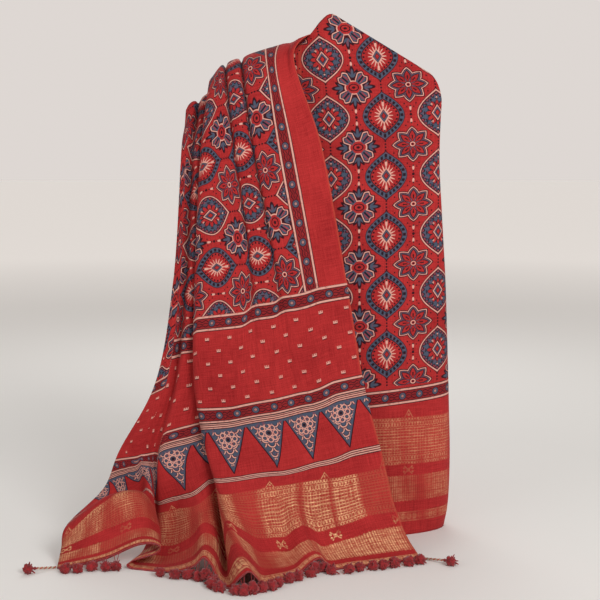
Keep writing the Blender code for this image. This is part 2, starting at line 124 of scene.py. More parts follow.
# The same lines where they run out over the surface: rise is above the foot of the fall, and hem is its end.
# tuck is how far a line dips behind the hump of the left flap, and dip_at is the share of the way to rise.
LYING = chart(
    "rise_x rise_y rise_z foot_x foot_y foot_z hem_x hem_y hem_z tuck dip_at",
    (0.160, -0.128, 0.090, 0.184, -0.140, 0.030, 0.205, -0.159, 0.000),  # selvedge
    (0.108, -0.138, 0.086, 0.134, -0.158, 0.024, 0.154, -0.178, 0.000),
    (0.080, -0.141, 0.084, 0.105, -0.163, 0.022, 0.125, -0.189, 0.000),
    (0.045, -0.145, 0.082, 0.070, -0.171, 0.020, 0.090, -0.200, 0.000),  # right lip
    (0.020, -0.148, 0.080, 0.040, -0.176, 0.020, 0.053, -0.210, 0.000),
    (-0.008, -0.152, 0.086, 0.015, -0.178, 0.038, 0.033, -0.206, 0.018),  # low arch
    (-0.036, -0.152, 0.084, -0.018, -0.190, 0.020, -0.006, -0.234, 0.000),
    (-0.060, -0.156, 0.086, -0.044, -0.206, 0.018, -0.034, -0.262, 0.000),
    (-0.085, -0.160, 0.090, -0.066, -0.222, 0.020, -0.058, -0.286, 0.000),  # left lip
    (-0.122, -0.172, 0.104, -0.088, -0.248, 0.044, -0.068, -0.306, 0.020),
    (-0.130, -0.170, 0.104, -0.100, -0.246, 0.052, -0.080, -0.311, 0.033),  # first arch
    (-0.136, -0.160, 0.094, -0.112, -0.236, 0.042, -0.094, -0.309, 0.022),
    (-0.134, -0.146, 0.078, -0.120, -0.214, 0.018, -0.110, -0.300, 0.002),
    (-0.128, -0.134, 0.068, -0.120, -0.200, 0.008, -0.118, -0.291, 0.000),
    (-0.126, -0.126, 0.066, -0.123, -0.190, 0.006, -0.124, -0.282, 0.000),  # valley
    (-0.134, -0.124, 0.072, -0.128, -0.184, 0.014, -0.131, -0.272, 0.002),
    (-0.152, -0.132, 0.092, -0.142, -0.188, 0.042, -0.141, -0.259, 0.022),
    (-0.172, -0.134, 0.098, -0.160, -0.186, 0.050, -0.155, -0.250, 0.034),  # second arch
    (-0.192, -0.126, 0.084, -0.182, -0.176, 0.030, -0.174, -0.243, 0.016),
    (-0.216, -0.112, 0.062, -0.222, -0.158, 0.008, -0.222, -0.224, 0.000),  # second lip
    (-0.244, -0.102, 0.054, -0.258, -0.154, 0.003, -0.276, -0.2075, 0.000),
    (-0.252, -0.092, 0.053, -0.267, -0.146, 0.009, -0.285, -0.206, 0.006),  # left turn
    (-0.255, -0.092, 0.062, -0.260, -0.139, 0.017, -0.276, -0.202, 0.0125),
    (-0.253, -0.100, 0.070, -0.244, -0.133, 0.027, -0.240, -0.184, 0.019),
    (-0.251, -0.110, 0.078, -0.238, -0.136, 0.037, -0.233, -0.182, 0.027),  # right turn
    (-0.256, -0.119, 0.088, -0.244, -0.143, 0.048, -0.240, -0.184, 0.035, 0.010, 0.5),
    (-0.276, -0.134, 0.110, -0.266, -0.158, 0.064, -0.266, -0.191, 0.038, 0.044, 0.5),
    (-0.326, -0.144, 0.104, -0.326, -0.172, 0.052, -0.326, -0.202, 0.016, 0.044, 0.5),
    (-0.398, -0.156, 0.052, -0.400, -0.178, 0.024, -0.402, -0.205, 0.000, 0.026, 0.3),
    defaults=(0, 0.6),
)

# Levels that the hanging part passes: height, and where its front layer stands.
HIGH, MID, LOW, KNEE = chart("z y", (0.700, -0.045), (0.460, -0.070), (0.280, -0.090), (0.165, -0.112))
GROOVE_LEFT_AT_TOP, GROOVE_LEFT_AT_MID = 0.55, 0.45  # of a groove's depth
DEEPEST_LAYER = 0.032
FLOOR_REACH = 0.05  # below this height the sheet is lifted by up to half its thickness
BACK_DROP = 0.30  # how far the end hangs down behind the ridge
BESIDE_RIDGE = 0.030  # how far below the ridge its neighbouring stations lie
# The stations behind the ridge: the share of the crest's x, and how far behind and below the ridge they lie.
BEHIND = (1.02, 0.075, BACK_DROP), (1.01, 0.056, BACK_DROP / 2), (1.0, 0.026, BESIDE_RIDGE)
SHOULDER_SHARE, SHOULDER_FORWARD = 0.2, 0.052  # the station before the ridge: its share of the way to HIGH
# Where the plain strip's edge rolls over the ridge, and just below.
ROLL = (0.018, RIDGE_Y - 0.006, 0.8895), (-0.0105, RIDGE_Y - 0.046, 0.854)
SQUARENESS = 2.0, 5.0  # the body section's roundness below (2 is an ellipse) and at the ridge
RIDGE_EASE = 0.006  # how far the ridge's corners are eased to each side
CLOTH = 0.0012  # the cloth's thickness, which lifts it off the surface that it lies on
PANEL_ROWS, PANEL_AROUND = 150, 240
END_ROWS, END_STEPS = 165, 10
LINE_WIDTH = 0.03  # metres from one line to the next, as the creases count them


def smooth(points, places):
    """Points of a centripetal Catmull-Rom curve through points, at places counted in spans."""
    points = np.asarray(points, float)
    gaps = np.sqrt(np.linalg.norm(np.diff(points, axis=0), axis=1)).clip(1e-5)
    slopes = np.diff(points, axis=0) / gaps[:, None]
    tangents = np.empty_like(points)
    tangents[0], tangents[-1] = slopes[0], slopes[-1]
    before, after = gaps[:-1, None], gaps[1:, None]
    tangents[1:-1] = (slopes[:-1] * after + slopes[1:] * before) / (before + after)
    places = np.clip(np.asarray(places, float), 0, len(points) - 1)
    span = np.minimum(places.astype(int), len(points) - 2)
    t = (places - span)[:, None]
    reach = gaps[span][:, None]
    return (
        (2 * t**3 - 3 * t**2 + 1) * points[span]
        + (t**3 - 2 * t**2 + t) * reach * tangents[span]
        + (3 * t**2 - 2 * t**3) * points[span + 1]
        + (t**3 - t**2) * reach * tangents[span + 1]
    )


def distances(points):
    """How far along their line each of the points is."""
    return np.concatenate([[0], np.cumsum(np.linalg.norm(np.diff(points, axis=0), axis=1))])


def evenly(points, count):
    """count places, in spans, that are evenly spaced along the smooth curve through points."""
    fine = np.linspace(0, len(points) - 1, 40 * len(points))
    along = distances(smooth(points, fine))
    return np.interp(np.linspace(0, along[-1], count), along, fine)


# ---- the print's layout -------------------------------------------------------------------------
# Where the printed and woven bands cross each line of the pleated end as it lies. The first three places are
# distances along the cloth from its hem, and the last four are heights.
BANDS_FLAT = 0.041, 0.089, 0.113, 0.197, 0.230, 0.364, 0.529  # the same, from the hem of the flat cloth
BANDS = chart(
    "line uprights_low uprights_top block_low block_top lines lower_rings upper_rings",
    (0.0, 0.019, 0.066, 0.089, 0.146, 0.179, 0.302, 0.460),
    (1.0, 0.020, 0.064, 0.088, 0.138, 0.170, 0.292, 0.452),
    (2.5, 0.022, 0.058, 0.081, 0.132, 0.156, 0.276, 0.441),
    (4.4, 0.020, 0.048, 0.072, 0.126, 0.143, 0.266, 0.432),
    (5.2, 0.016, 0.040, 0.065, 0.123, 0.139, 0.262, 0.428),
    (6.8, 0.030, 0.069, 0.092, 0.118, 0.136, 0.255, 0.421),
    (8.2, 0.054, 0.088, 0.110, 0.114, 0.132, 0.248, 0.410),
    (10.7, 0.084, 0.114, 0.132, 0.113, 0.131, 0.244, 0.385),
    (13.0, 0.070, 0.100, 0.118, 0.108, 0.126, 0.232, 0.372),
    (16.0, 0.050, 0.082, 0.102, 0.103, 0.121, 0.220, 0.367),
    (17.5, 0.036, 0.066, 0.086, 0.086, 0.102, 0.212, 0.365),
    (20.0, 0.030, 0.060, 0.080, 0.064, 0.078, 0.199, 0.363),
    (20.4, 0.028, 0.056, 0.076, 0.064, 0.078, 0.164, 0.363),
    (25.0, 0.014, 0.034, 0.052, 0.066, 0.080, 0.162, 0.361),
    (25.3, 0.014, 0.033, 0.051, 0.066, 0.080, 0.162, 0.301),
    (27.0, 0.012, 0.030, 0.050, 0.066, 0.080, 0.158, 0.292),
    (28.0, 0.010, 0.024, 0.036, 0.050, 0.080, 0.155, 0.286),
)
# On the left flap, from FLAP_FROM on, two of them are distances from the hem too.
FLAP_FROM, FIRST_OF_FLAP = 22.0, 3
FLAP_BANDS = chart(
    "line block_top lines",
    (23.0, 0.098, 0.120), (25.0, 0.092, 0.114), (26.7, 0.109, 0.136), (27.3, 0.090, 0.118),
    (28.0, 0.051, 0.086),
)
RIDGE_AT = 0.969  # the ridge's distance from the hem on the flat cloth
# How much more print than cloth lies between the right selvedge and each line, by the hem, at the knee and
# above. SHIFT_AT has those three distances from the hem.
SHIFT_AT = 0.070, 0.190, 0.500
SHIFTS = chart(
    "line by_hem at_knee above",
    (0.0, 0.000, 0.000, 0.000), (1.0, 0.000, 0.000, 0.000), (2.9, -0.006, 0.004, 0.002),
    (5.5, -0.009, 0.015, 0.005), (8.1, 0.000, 0.009, 0.020), (8.7, 0.004, 0.008, 0.033),
    (28.0, 0.004, 0.008, 0.033),
)
# Past the first fold the flat cloth is mostly hidden, and this is how far from the selvedge each line lies on
# it, at the distances from the hem of PLACE_AT.
PLACE_AT = 0.110, 0.260, 0.500
PLACES = chart(
    "line by_hem at_knee above",
    (9.0, 0.330, 0.320, 0.300), (12.0, 0.380, 0.370, 0.360), (16.0, 0.440, 0.430, 0.430),
    (17.0, 0.465, 0.456, 0.446), (18.0, 0.500, 0.480, 0.460), (19.0, 0.540, 0.500, 0.478),
    (20.0, 0.575, 0.512, 0.485), (22.0, 0.600, 0.530, 0.496), (25.0, 0.665, 0.556, 0.510),
    (26.0, 0.710, 0.580, 0.516), (27.0, 0.780, 0.610, 0.524), (28.0, 0.860, 0.640, 0.534),
)
STRIP, STRIP_LINE = 0.079, 2.0  # the plain strip with the band of rings beside it, and the line at its edge
HIDDEN = 9.0, 14.0  # between these lines SHIFTS gives way to PLACES

# ---- creases ------------------------------------------------------------------------------------
# A soft ridge or trough on the cloth between two places. On the pleated end across is counted in lines and up
# is the distance from the hem. On the wrapped panel across is metres from its middle and up is the height.
CREASE = "across up to_across to_up width height"
END_CREASES = chart(
    CREASE,
    (0.3, 0.672, 1.9, 0.668, 0.005, -0.0016), (0.4, 0.655, 1.7, 0.659, 0.007, 0.0012),
    (0.55, 0.96, 0.45, 0.87, 0.005, -0.0045), (0.20, 0.94, 0.25, 0.80, 0.006, 0.003),
    (1.7, 0.46, 1.9, 0.24, 0.008, 0.002), (3.2, 0.47, 3.4, 0.27, 0.007, -0.002),
    (4.6, 0.46, 4.8, 0.22, 0.008, 0.0024), (6.2, 0.48, 6.3, 0.25, 0.008, -0.002),
    (7.6, 0.47, 7.7, 0.30, 0.007, 0.0018), (4.62, 0.135, 4.9, 0.012, 0.0045, -0.004),
    (5.35, 0.110, 5.5, 0.010, 0.006, 0.002), (3.4, 0.150, 3.6, 0.070, 0.006, -0.0016),
    (6.4, 0.150, 6.7, 0.060, 0.008, 0.002), (1.2, 0.150, 1.3, 0.030, 0.008, 0.0014),
    (2.3, 0.110, 2.2, 0.020, 0.007, -0.0012), (2.6, 0.245, 7.0, 0.235, 0.010, 0.0016),
    (8.0, 0.300, 9.0, 0.255, 0.008, -0.0018), (2.4, 0.205, 3.8, 0.215, 0.006, -0.0012),
    (5.8, 0.215, 7.8, 0.225, 0.007, -0.0012), (17.2, 0.40, 17.6, 0.22, 0.010, 0.0024),
    (27.0, 0.085, 27.2, 0.020, 0.008, 0.0016), (26.6, 0.080, 26.9, 0.015, 0.007, -0.0016),
)
PANEL_CREASES = chart(
    CREASE,
    (0.055, 0.30, 0.075, 0.02, 0.012, 0.0012), (0.120, 0.26, 0.110, 0.01, 0.010, -0.001),
    (0.150, 0.20, 0.170, 0.01, 0.012, 0.0012), (0.190, 0.30, 0.185, 0.05, 0.010, -0.0012),
    (0.210, 0.62, 0.225, 0.40, 0.016, 0.0014), (0.180, 0.80, 0.228, 0.70, 0.012, -0.0012),
    (0.080, 0.85, 0.110, 0.62, 0.018, 0.0012), (0.030, 0.80, 0.050, 0.50, 0.016, -0.001),
)


def surface_normals(grid):
    """The unit normals of a grid of points, rows by columns."""
    across, down = np.gradient(grid, axis=1), np.gradient(grid, axis=0)
    normals = np.cross(across, down)
    return normals / np.linalg.norm(normals, axis=2, keepdims=True).clip(1e-12)


def relief(across, up, creases, scale):
    """Heights of the creases at each point. scale turns a step across into metres."""
    total = np.zeros_like(across)
    for c in creases:
        ax, ay = across * scale, up
        sx, sy = c.across * scale, c.up
        wx, wy = (c.to_across - c.across) * scale, c.to_up - c.up
        share = (((ax - sx) * wx + (ay - sy) * wy) / (wx**2 + wy**2)).clip(0, 1)
        near = np.hypot(ax - sx - share * wx, ay - sy - share * wy) / c.width
        ends = np.sin(math.pi * (0.08 + 0.84 * share)) ** 0.5
        total += c.height * ends * np.exp(-(near**2))
    return total


def lengths(grid, axis, kept=(0, 1, 2)):
    """How far each point of a grid is from its first row or column, by the axes that are kept."""
    steps = np.linalg.norm(np.diff(grid, axis=axis)[:, :, list(kept)], axis=2)
    return np.insert(np.cumsum(steps, axis=axis), 0, 0, axis=axis)


def end_cut(grid, lines):
    """Each point's place on the flat cloth: across from the right selvedge, and up from the hem."""
    from_hem = lengths(grid[::-1], 0)[::-1]
    ridge = np.argmin(np.abs(grid[:, :, 1] - RIDGE_Y), axis=0)
    up = np.empty_like(from_hem)
    for k, (line, bands, flap) in enumerate(zip(lines, rows_at(BANDS, lines), rows_at(FLAP_BANDS, lines))):
        top, fall = ridge[k], slice(ridge[k], None)
        drop = np.maximum.accumulate(-grid[fall, k, 2])
        marks = [*bands[:3], *np.interp(-bands[3:], drop, from_hem[fall, k])]
        share = min(max(line - FLAP_FROM, 0.0), 1.0)
        for place, distance in enumerate(flap, FIRST_OF_FLAP):
            marks[place] += share * (distance - marks[place])
        at = np.maximum.accumulate([0, *marks, from_hem[top, k]]) + np.arange(9) * 1e-6
        up[:, k] = np.interp(from_hem[:, k], at, [0, *BANDS_FLAT, RIDGE_AT])
        up[:top, k] = RIDGE_AT + from_hem[:top, k] - from_hem[top, k]
    across = lengths(grid, 1)
    edge = np.argmin(np.abs(lines - STRIP_LINE))
    strip = across[:, edge : edge + 1]
    across = np.where(across < strip, across * (STRIP / strip), across - strip + STRIP)
    over_print = across + level_chart(SHIFTS, lines, np.interp(from_hem, SHIFT_AT, [0, 1, 2]))
    by_line = level_chart(PLACES, lines, np.interp(from_hem, PLACE_AT, [0, 1, 2]))
    share = ((lines - HIDDEN[0]) / (HIDDEN[1] - HIDDEN[0])).clip(0, 1)
    share = share**2 * (3 - 2 * share)
    return (1 - share) * over_print + share * by_line, up


def rows_at(rows, lines):
    """A chart's values at each line, which its first column counts."""
    columns = np.array(rows).T
    return np.stack([np.interp(lines, columns[0], column) for column in columns[1:]], axis=1)


def level_chart(rows, lines, place):
    """A chart's values at each line, between its three levels by place."""
    levels = rows_at(rows, lines)
    first = np.minimum(place.astype(int), 1)
    column = np.broadcast_to(np.arange(len(lines)), place.shape)
    part = place - first
    return (1 - part) * levels[column, first] + part * levels[column, first + 1]


def linked(name, data):
    """A new object in the scene."""
    obj = bpy.data.objects.new(name, data)
    bpy.context.scene.collection.objects.link(obj)
    return obj


def sheet_object(name, grid, cut, thickness, offset, extra=()):
    """A piece of cloth from a grid of points, with its places on the flat cloth in the UV layer "cut"."""
    rows, columns = grid.shape[:2]
    mesh = bpy.data.meshes.new(name)
    points = grid.reshape(-1, 3) + np.array(ORIGIN)
    mesh.from_pydata(points.tolist(), [], grid_faces(rows, columns) + list(extra))
    corners = np.empty(len(mesh.loops), int)
    mesh.loops.foreach_get("vertex_index", corners)
    flat = np.stack([c.reshape(-1) for c in cut], axis=1)[corners]
    mesh.uv_layers.new(name="cut").data.foreach_set("uv", flat.reshape(-1))
    obj = linked(name, mesh)
    solid = obj.modifiers.new("thickness", "SOLIDIFY")
    solid.thickness, solid.offset, solid.use_even_offset = thickness, offset, False
    settle(obj)
    return obj


def settle(obj):
    """Applies the object's modifiers, keeps it on the surface and shades it smooth."""
    graph = bpy.context.evaluated_depsgraph_get()
    mesh = bpy.data.meshes.new_from_object(obj.evaluated_get(graph))
    obj.modifiers.clear()
    obj.data = mesh
    corners = np.empty(len(mesh.vertices) * 3)
    mesh.vertices.foreach_get("co", corners)
    corners[2::3] = corners[2::3].clip(0)
    mesh.vertices.foreach_set("co", corners)
    mesh.shade_smooth()


def grid_faces(rows, columns, wraps=False):
    """Quads between rows of columns points each."""
    last = columns if wraps else columns - 1
    return [
        [r * columns + c, r * columns + d, (r + 1) * columns + d, (r + 1) * columns + c]
        for r in range(rows - 1)
        for c, d in [(c, (c + 1) % columns) for c in range(last)]
    ]


# ---- the wrapped panel --------------------------------------------------------------------------
def ridge_height(x):
    """The ridge's height, eased over its corners."""
    ridge = np.array(RIDGE).T
    left, here, right = (np.interp(x + step, *ridge) for step in (-RIDGE_EASE, 0, RIDGE_EASE))
    return (left + 2 * here + right) / 4


def panel_grid(rows, around):
    """The wrapped panel's outer surface: rows by places round it, from its left end along front and back."""
    levels = smooth(BODY, evenly(BODY, rows))
    turn = np.linspace(0, 2 * math.pi, around + 1)
    loops = []
    for share, left, right, half_depth in levels:
        middle, half = (left + right) / 2, (right - left) / 2
        power = SQUARENESS[0] + (SQUARENESS[1] - SQUARENESS[0]) * min(share, 1) ** 4
        x = middle - half * np.cos(turn)
        bulge = (1 - np.abs(np.cos(turn)) ** power).clip(0) ** (1 / power)
        y = RIDGE_Y - half_depth * bulge * np.sign(np.sin(turn).round(9))
        loops.append(np.stack([x, y, share * ridge_height(x)], axis=1))
    return np.stack(loops)


def panel_cut(grid):
    """Each point's place on the flat cloth: across from the front's middle, and up from the hem."""
    around = lengths(grid, 1, (0, 1))
    half = grid.shape[1] // 2
    middle = [np.interp(0, row[:half, 0], far[:half]) for row, far in zip(grid, around)]
    return around - np.array(middle)[:, None], lengths(grid, 0, (1, 2))


def ridge_faces(rows, around):
    """Faces that close the panel along its ridge, from the front to the back."""
    top = (rows - 1) * (around + 1)
    return [[top + i, top + i + 1, top + around - i - 1, top + around - i] for i in range(around // 2)]


# ---- the pleated end ----------------------------------------------------------------------------
def fall_of(pleat, lying):
    """The stations of one line of the pleated end, from its end behind the ridge to its hem."""
    layer = DEEPEST_LAYER - min(pleat.depth, DEEPEST_LAYER)
    groove = "groove" in pleat.name
    top_depth = pleat.depth * (GROOVE_LEFT_AT_TOP if groove else 1)
    mid_depth = pleat.depth * (GROOVE_LEFT_AT_MID if groove else 1)
    low_depth = 0 if groove else mid_depth
    x, top = pleat.crest_x, pleat.crest_z
    crest = x, RIDGE_Y, top
    shoulder_x = x + SHOULDER_SHARE * (pleat.high - x)
    shoulder = shoulder_x, RIDGE_Y - SHOULDER_FORWARD + top_depth, top - BESIDE_RIDGE
    if pleat.name == "selvedge":
        crest, shoulder = ROLL
    knee = np.array((pleat.knee, KNEE.y + low_depth, KNEE.z))
    rise, foot, hem = (np.array(lying[i : i + 3]) for i in (0, 3, 6))
    return [
        *((x * share, RIDGE_Y + behind + layer, top - below) for share, behind, below in BEHIND),
        crest,
        shoulder,
        (pleat.high, HIGH.y + top_depth, HIGH.z),
        (pleat.mid, MID.y + mid_depth, MID.z),
        (pleat.low, LOW.y + low_depth, LOW.z),
        knee,
        knee + lying.dip_at * (rise - knee) + lying.tuck * np.array((0, 0.6, -1)),
        rise,
        foot,
        hem,
    ]


def end_surface(rows, steps):
    """Points of the pleated end as rows by lines, its middle surface."""
    falls = [fall_of(pleat, lying) for pleat, lying in zip(PLEATS, LYING)]
    places = evenly(falls[len(falls) // 3], rows)
    lines = np.stack([smooth(fall, places) for fall in falls])
    across = np.linspace(0, len(falls) - 1, (len(falls) - 1) * steps + 1)
    grid = np.stack([smooth(lines[:, row], across) for row in range(rows)])
    lift = CLOTH / 2 * np.clip(1 - grid[:, :, 2] / FLOOR_REACH, 0, 1)
    grid[:, :, 2] = np.maximum(grid[:, :, 2] + lift, CLOTH / 2)
    return grid


# ---- the fringe ---------------------------------------------------------------------------------
GAP, HEADING, HEADING_THICK = 0.0006, 0.0028, 0.0012  # the heading's distance from the hem, and its section
POMPOM_STEP, POMPOM_HALF = 0.0215, 0.0070
STRING_LENGTH, STRING_RADIUS, STRING_SPREAD = 0.012, 0.00065, 0.0045
SAG_HANGING, SAG_LYING = 0.0012, 0.0022  # how far a string bows up where its pompom hangs, and where it lies
# Above HANGING_FROM a pompom hangs and stands out by HANGING_REACH. FORWARD turns them all towards the front.
HANGING_FROM, HANGING_REACH, FORWARD = 0.010, 0.011, 0.6
TUCKED_UNDER = 19.0, 26.5  # between these places, counted in lines, the fold above covers the hem
# Where each corner cord starts at the hem, and the middle of its pompom.
TASSELS = chart(
    "name start_x start_y end_x end_y",
    ("corner_tassel_right", 0.2071, -0.1607, 0.252, -0.192),
    ("corner_tassel_left", -0.4033, -0.2056, -0.443, -0.230),
)
CORD_RADIUS, TASSEL_POMPOM = 0.0022, 0.0085
STRAND_OFFSET, STRAND_RADIUS, STRAND_PITCH = 0.001, 0.0012, 0.0075
KNOT_AT, KNOT_HALF, KNOT_RADII = 0.78, 0.0022, (0.002, 0.003, 0.002)  # its share of the way, and its shape


def unit(vectors):
    """The same directions with length 1."""
    return vectors / np.linalg.norm(vectors, axis=-1, keepdims=True)


def hem_frame(grid):
    """The hem's points, the way along it, and the way out of the cloth at each."""
    hem = grid[-1]
    along = unit(np.gradient(hem, axis=0))
    out = hem - grid[-2]
    return hem, along, unit(out - (out * along).sum(1, keepdims=True) * along)


def tube(path, radii, sides, turn=0.0):
    """Points and faces of a closed tube along a path."""
    path = np.asarray(path, float)
    way = unit(np.gradient(path, axis=0))
    side = unit(np.cross(way, (0.13, 0.21, 1.0)))
    up = np.cross(way, side)
    angles = turn + np.arange(sides) * 2 * math.pi / sides
    ring = np.cos(angles)[None, :, None] * side[:, None] + np.sin(angles)[None, :, None] * up[:, None]
    points = (path[:, None] + np.asarray(radii)[:, None, None] * ring).reshape(-1, 3)
    last = len(path) * sides
    ends = [list(range(sides))[::-1], list(range(last - sides, last))]
    return points, grid_faces(len(path), sides, wraps=True) + ends


def tuft(middle, half, way, seed, wisps):
    """A pompom of short wool wisps: a lumpy ball and blunt locks that stand out of it."""
    dice = np.random.default_rng(seed)
    ball = bmesh.new()
    bmesh.ops.create_icosphere(ball, subdivisions=3, radius=1)
    points = np.array([v.co[:] for v in ball.verts])
    faces = [[v.index for v in f.verts] for f in ball.faces]
    ball.free()
    lumps = unit(dice.normal(size=(22, 3)))
    swell = 0.72 + 0.30 * np.exp(-(((points @ lumps.T) - 1) ** 2) / 0.006).max(axis=1)
    rough = swell * dice.uniform(0.90, 1.12, len(points))
    parts = [(points * rough[:, None] * half * dice.uniform(0.95, 1.15, 3), faces)]
    for way_out in unit(dice.normal(size=(wisps, 3)) + 0.35 * way):
        bend = 0.30 * dice.normal(size=3)
        reach = dice.uniform(1.02, 1.20)
        path = [half * (way_out * r + bend * r**3 * 0.3) for r in (0.5, 0.86, reach)]
        parts.append(tube(path, [0.15 * half, 0.17 * half, 0.09 * half], 4, dice.uniform(0, 3)))
    return [(np.array(middle) + piece, sides) for piece, sides in parts]


def joined(name, parts):
    """One object of many closed shapes."""
    faces, count = [], 0
    for piece, sides in parts:
        faces += [[corner + count for corner in face] for face in sides]
        count += len(piece)
    points = np.concatenate([piece for piece, _ in parts])
    points[:, 2] = points[:, 2].clip(0)
    mesh = bpy.data.meshes.new(name)
    mesh.from_pydata((points + np.array(ORIGIN)).tolist(), [], faces)
    mesh.shade_smooth()
    return linked(name, mesh)


def heading(hem, along, out):
    """The narrow strip along the hem that the strings are sewn to."""
    up = np.cross(along, out)
    section = (GAP, -1), (GAP + HEADING, -1), (GAP + HEADING, 1), (GAP, 1)
    corners = [hem + out * reach + up * side * HEADING_THICK / 2 for reach, side in section]
    last = 4 * len(hem)
    ends = [[3, 2, 1, 0], [last - 4, last - 3, last - 2, last - 1]]
    return np.stack(corners, axis=1).reshape(-1, 3), grid_faces(len(hem), 4, wraps=True) + ends


def string(start, end, sag):
    """A pompom's string, bowed up by sag at its middle."""
    belly = (start + end) / 2 + np.array((0, 0, sag))
    places = np.linspace(0, 1, 7)[:, None]
    path = (1 - places) ** 2 * start + 2 * places * (1 - places) * belly + places**2 * end
    path[:, 2] = path[:, 2].clip(0.0007)
    return tube(path, [STRING_RADIUS] * len(path), 5)


def fringe_parts(grid, lines, wisps):
    """The heading along the hem, and a pompom on two strings at each step of it."""
    hem, along, out = hem_frame(grid)
    parts = [heading(hem, along, out)]
    far = distances(hem)
    tucked = np.interp(TUCKED_UNDER, lines, far)
    roots = hem + out * (GAP + HEADING / 2)

    def at(values, place):
        return np.array([np.interp(place, far, column) for column in values.T])

    for number, place in enumerate(np.arange(POMPOM_STEP / 2, far[-1], POMPOM_STEP)):
        if tucked[0] < place < tucked[1]:
            continue
        root, way = at(roots, place), unit(at(out, place))
        hangs = root[2] > HANGING_FROM
        flat = unit(np.array((way[0], way[1] - FORWARD, 0)))
        drop = max(POMPOM_HALF, root[2] - STRING_LENGTH - POMPOM_HALF) - root[2]
        reach = HANGING_REACH if hangs else STRING_LENGTH + POMPOM_HALF
        middle = root + flat * reach + np.array((0, 0, drop))
        dice = np.random.default_rng(100 + number)
        middle[:2] += dice.uniform(-0.003, 0.003, 2)
        for side in (-STRING_SPREAD, STRING_SPREAD):
            parts.append(string(at(roots, place + side), middle, SAG_HANGING if hangs else SAG_LYING))
        parts += tuft(middle, POMPOM_HALF * dice.uniform(1.2, 1.5), unit(middle - root), number, wisps)
    return parts


def tassel_parts(row, wisps):
    """A corner's two-strand twisted cord with its knot, and the pompom it ends in."""
    start = np.array((row.start_x, row.start_y, CORD_RADIUS))
    end = np.array((row.end_x, row.end_y, TASSEL_POMPOM))
    way = unit(end - start)
    side = unit(np.cross(way, (0, 0, 1.0)))
    up = np.cross(side, way)
    share = np.linspace(0, 1, 40)[:, None]
    turns = share * np.linalg.norm(end - start) / STRAND_PITCH * 2 * math.pi
    parts = []
    for phase in (0, math.pi):
        path = start + share * (end - start)
        path = path + STRAND_OFFSET * (np.cos(turns + phase) * side + np.sin(turns + phase) * up)
        parts.append(tube(path, [STRAND_RADIUS] * len(path), 8))
    knot = start + KNOT_AT * (end - start)
    parts.append(tube([knot + way * step for step in (-KNOT_HALF, 0, KNOT_HALF)], KNOT_RADII, 8))
    return parts, tuft(end, TASSEL_POMPOM, way, 7, wisps)


# ---- shader maths -------------------------------------------------------------------------------
SOFT = 0.7  # how far a printed edge blurs, in millimetres


def maths(operation, turned=False):
    """An operator that adds a Math node. turned swaps its two values, for the reflected form."""

    def add_node(self, *others):
        values = [self, *others]
        return self.graph.node("Math", {"operation": operation}, values[::-1] if turned else values)

    return add_node


class Signal:
    """A node's output socket, on which arithmetic adds Math nodes to the graph."""

    def __init__(self, graph, source):
        self.graph, self.source = graph, source

    __add__ = __radd__ = maths("ADD")
    __sub__, __rsub__ = maths("SUBTRACT"), maths("SUBTRACT", turned=True)
    __mul__ = __rmul__ = maths("MULTIPLY")
    __truediv__, __rtruediv__ = maths("DIVIDE"), maths("DIVIDE", turned=True)
    __pow__, __mod__ = maths("POWER"), maths("FLOORED_MODULO")
    __lt__, __gt__ = maths("LESS_THAN"), maths("GREATER_THAN")
    __or__ = __ror__ = maths("MAXIMUM")
    __and__ = __rand__ = maths("MINIMUM")
    __abs__, floor, cosine, root = maths("ABSOLUTE"), maths("FLOOR"), maths("COSINE"), maths("SQRT")
    angle_with = maths("ARCTAN2")  # of the point whose height is this and whose reach is the other

    def length_with(self, other):
        """The distance from the origin of a point at this and the other."""
        return (self * self + other * other).root()

    def inside(self, soft=SOFT):
        """1 where this is above 0 and 0 below it, with a soft edge as wide as soft."""
        settings = {"operation": "MULTIPLY_ADD", "use_clamp": True}
        return self.graph.node("Math", settings, [self, 1 / soft, 0.5])

    def from_middle(self, period):
        """How far this is from the nearest whole number of periods."""
        return self.graph.node("Math", {"operation": "PINGPONG"}, [self, period / 2])


class Graph:
    """The nodes of one material, or of the world, that end in its shader."""

    def __init__(self, owner, shader="Principled BSDF", **values):
        owner.use_nodes = True
        self.owner, self.tree = owner, owner.node_tree
        self.shader = self.tree.nodes[shader].inputs
        self.give({name.replace("_", " "): value for name, value in values.items()})

    def node(self, kind, settings=None, values=(), output=0):
        """Adds a node of that type, gives it its settings and then the values or links of its sockets."""
        made = self.tree.nodes.new("ShaderNode" + kind)
        for setting, value in (settings or {}).items():
            setattr(made, setting, value)
        sockets = [s for s in made.inputs if s.enabled]
        pairs = values.items() if isinstance(values, dict) else enumerate(values)
        for key, value in pairs:
            self.join(value, sockets[key] if isinstance(key, int) else made.inputs[key])
        shown = [s for s in made.outputs if s.enabled]
        return Signal(self, made.outputs[output] if isinstance(output, str) else shown[output])

    def join(self, value, socket):
        """Links a signal to a socket, or sets it to a plain value."""
        if isinstance(value, Signal):
            self.tree.links.new(value.source, socket)
        else:
            socket.default_value = value

    def give(self, values):
        """Gives the shader's sockets their values or links, and returns what the shader is on."""
        for name, value in values.items():
            self.join(value, self.shader[name])
        return self.owner

    def mix(self, share, below, above):
        """A colour between two, by share."""
        return self.node("Mix", {"data_type": "RGBA", "clamp_factor": True}, [share, below, above])

    def noise(self, place, scale, detail=2.0):
        """Fine, even noise between 0 and 1. Three scales stretch it along the cloth's own directions."""
        if isinstance(scale, tuple):
            place, scale = self.node("Mapping", {}, {"Vector": place, "Scale": scale}), 1.0
        return self.node("TexNoise", {}, {"Vector": place, "Scale": scale, "Detail": detail})

    def bump(self, height, distance):
        """The normals of small raised threads."""
        return self.node("Bump", {}, {"Height": height, "Distance": distance, "Strength": 1.0})


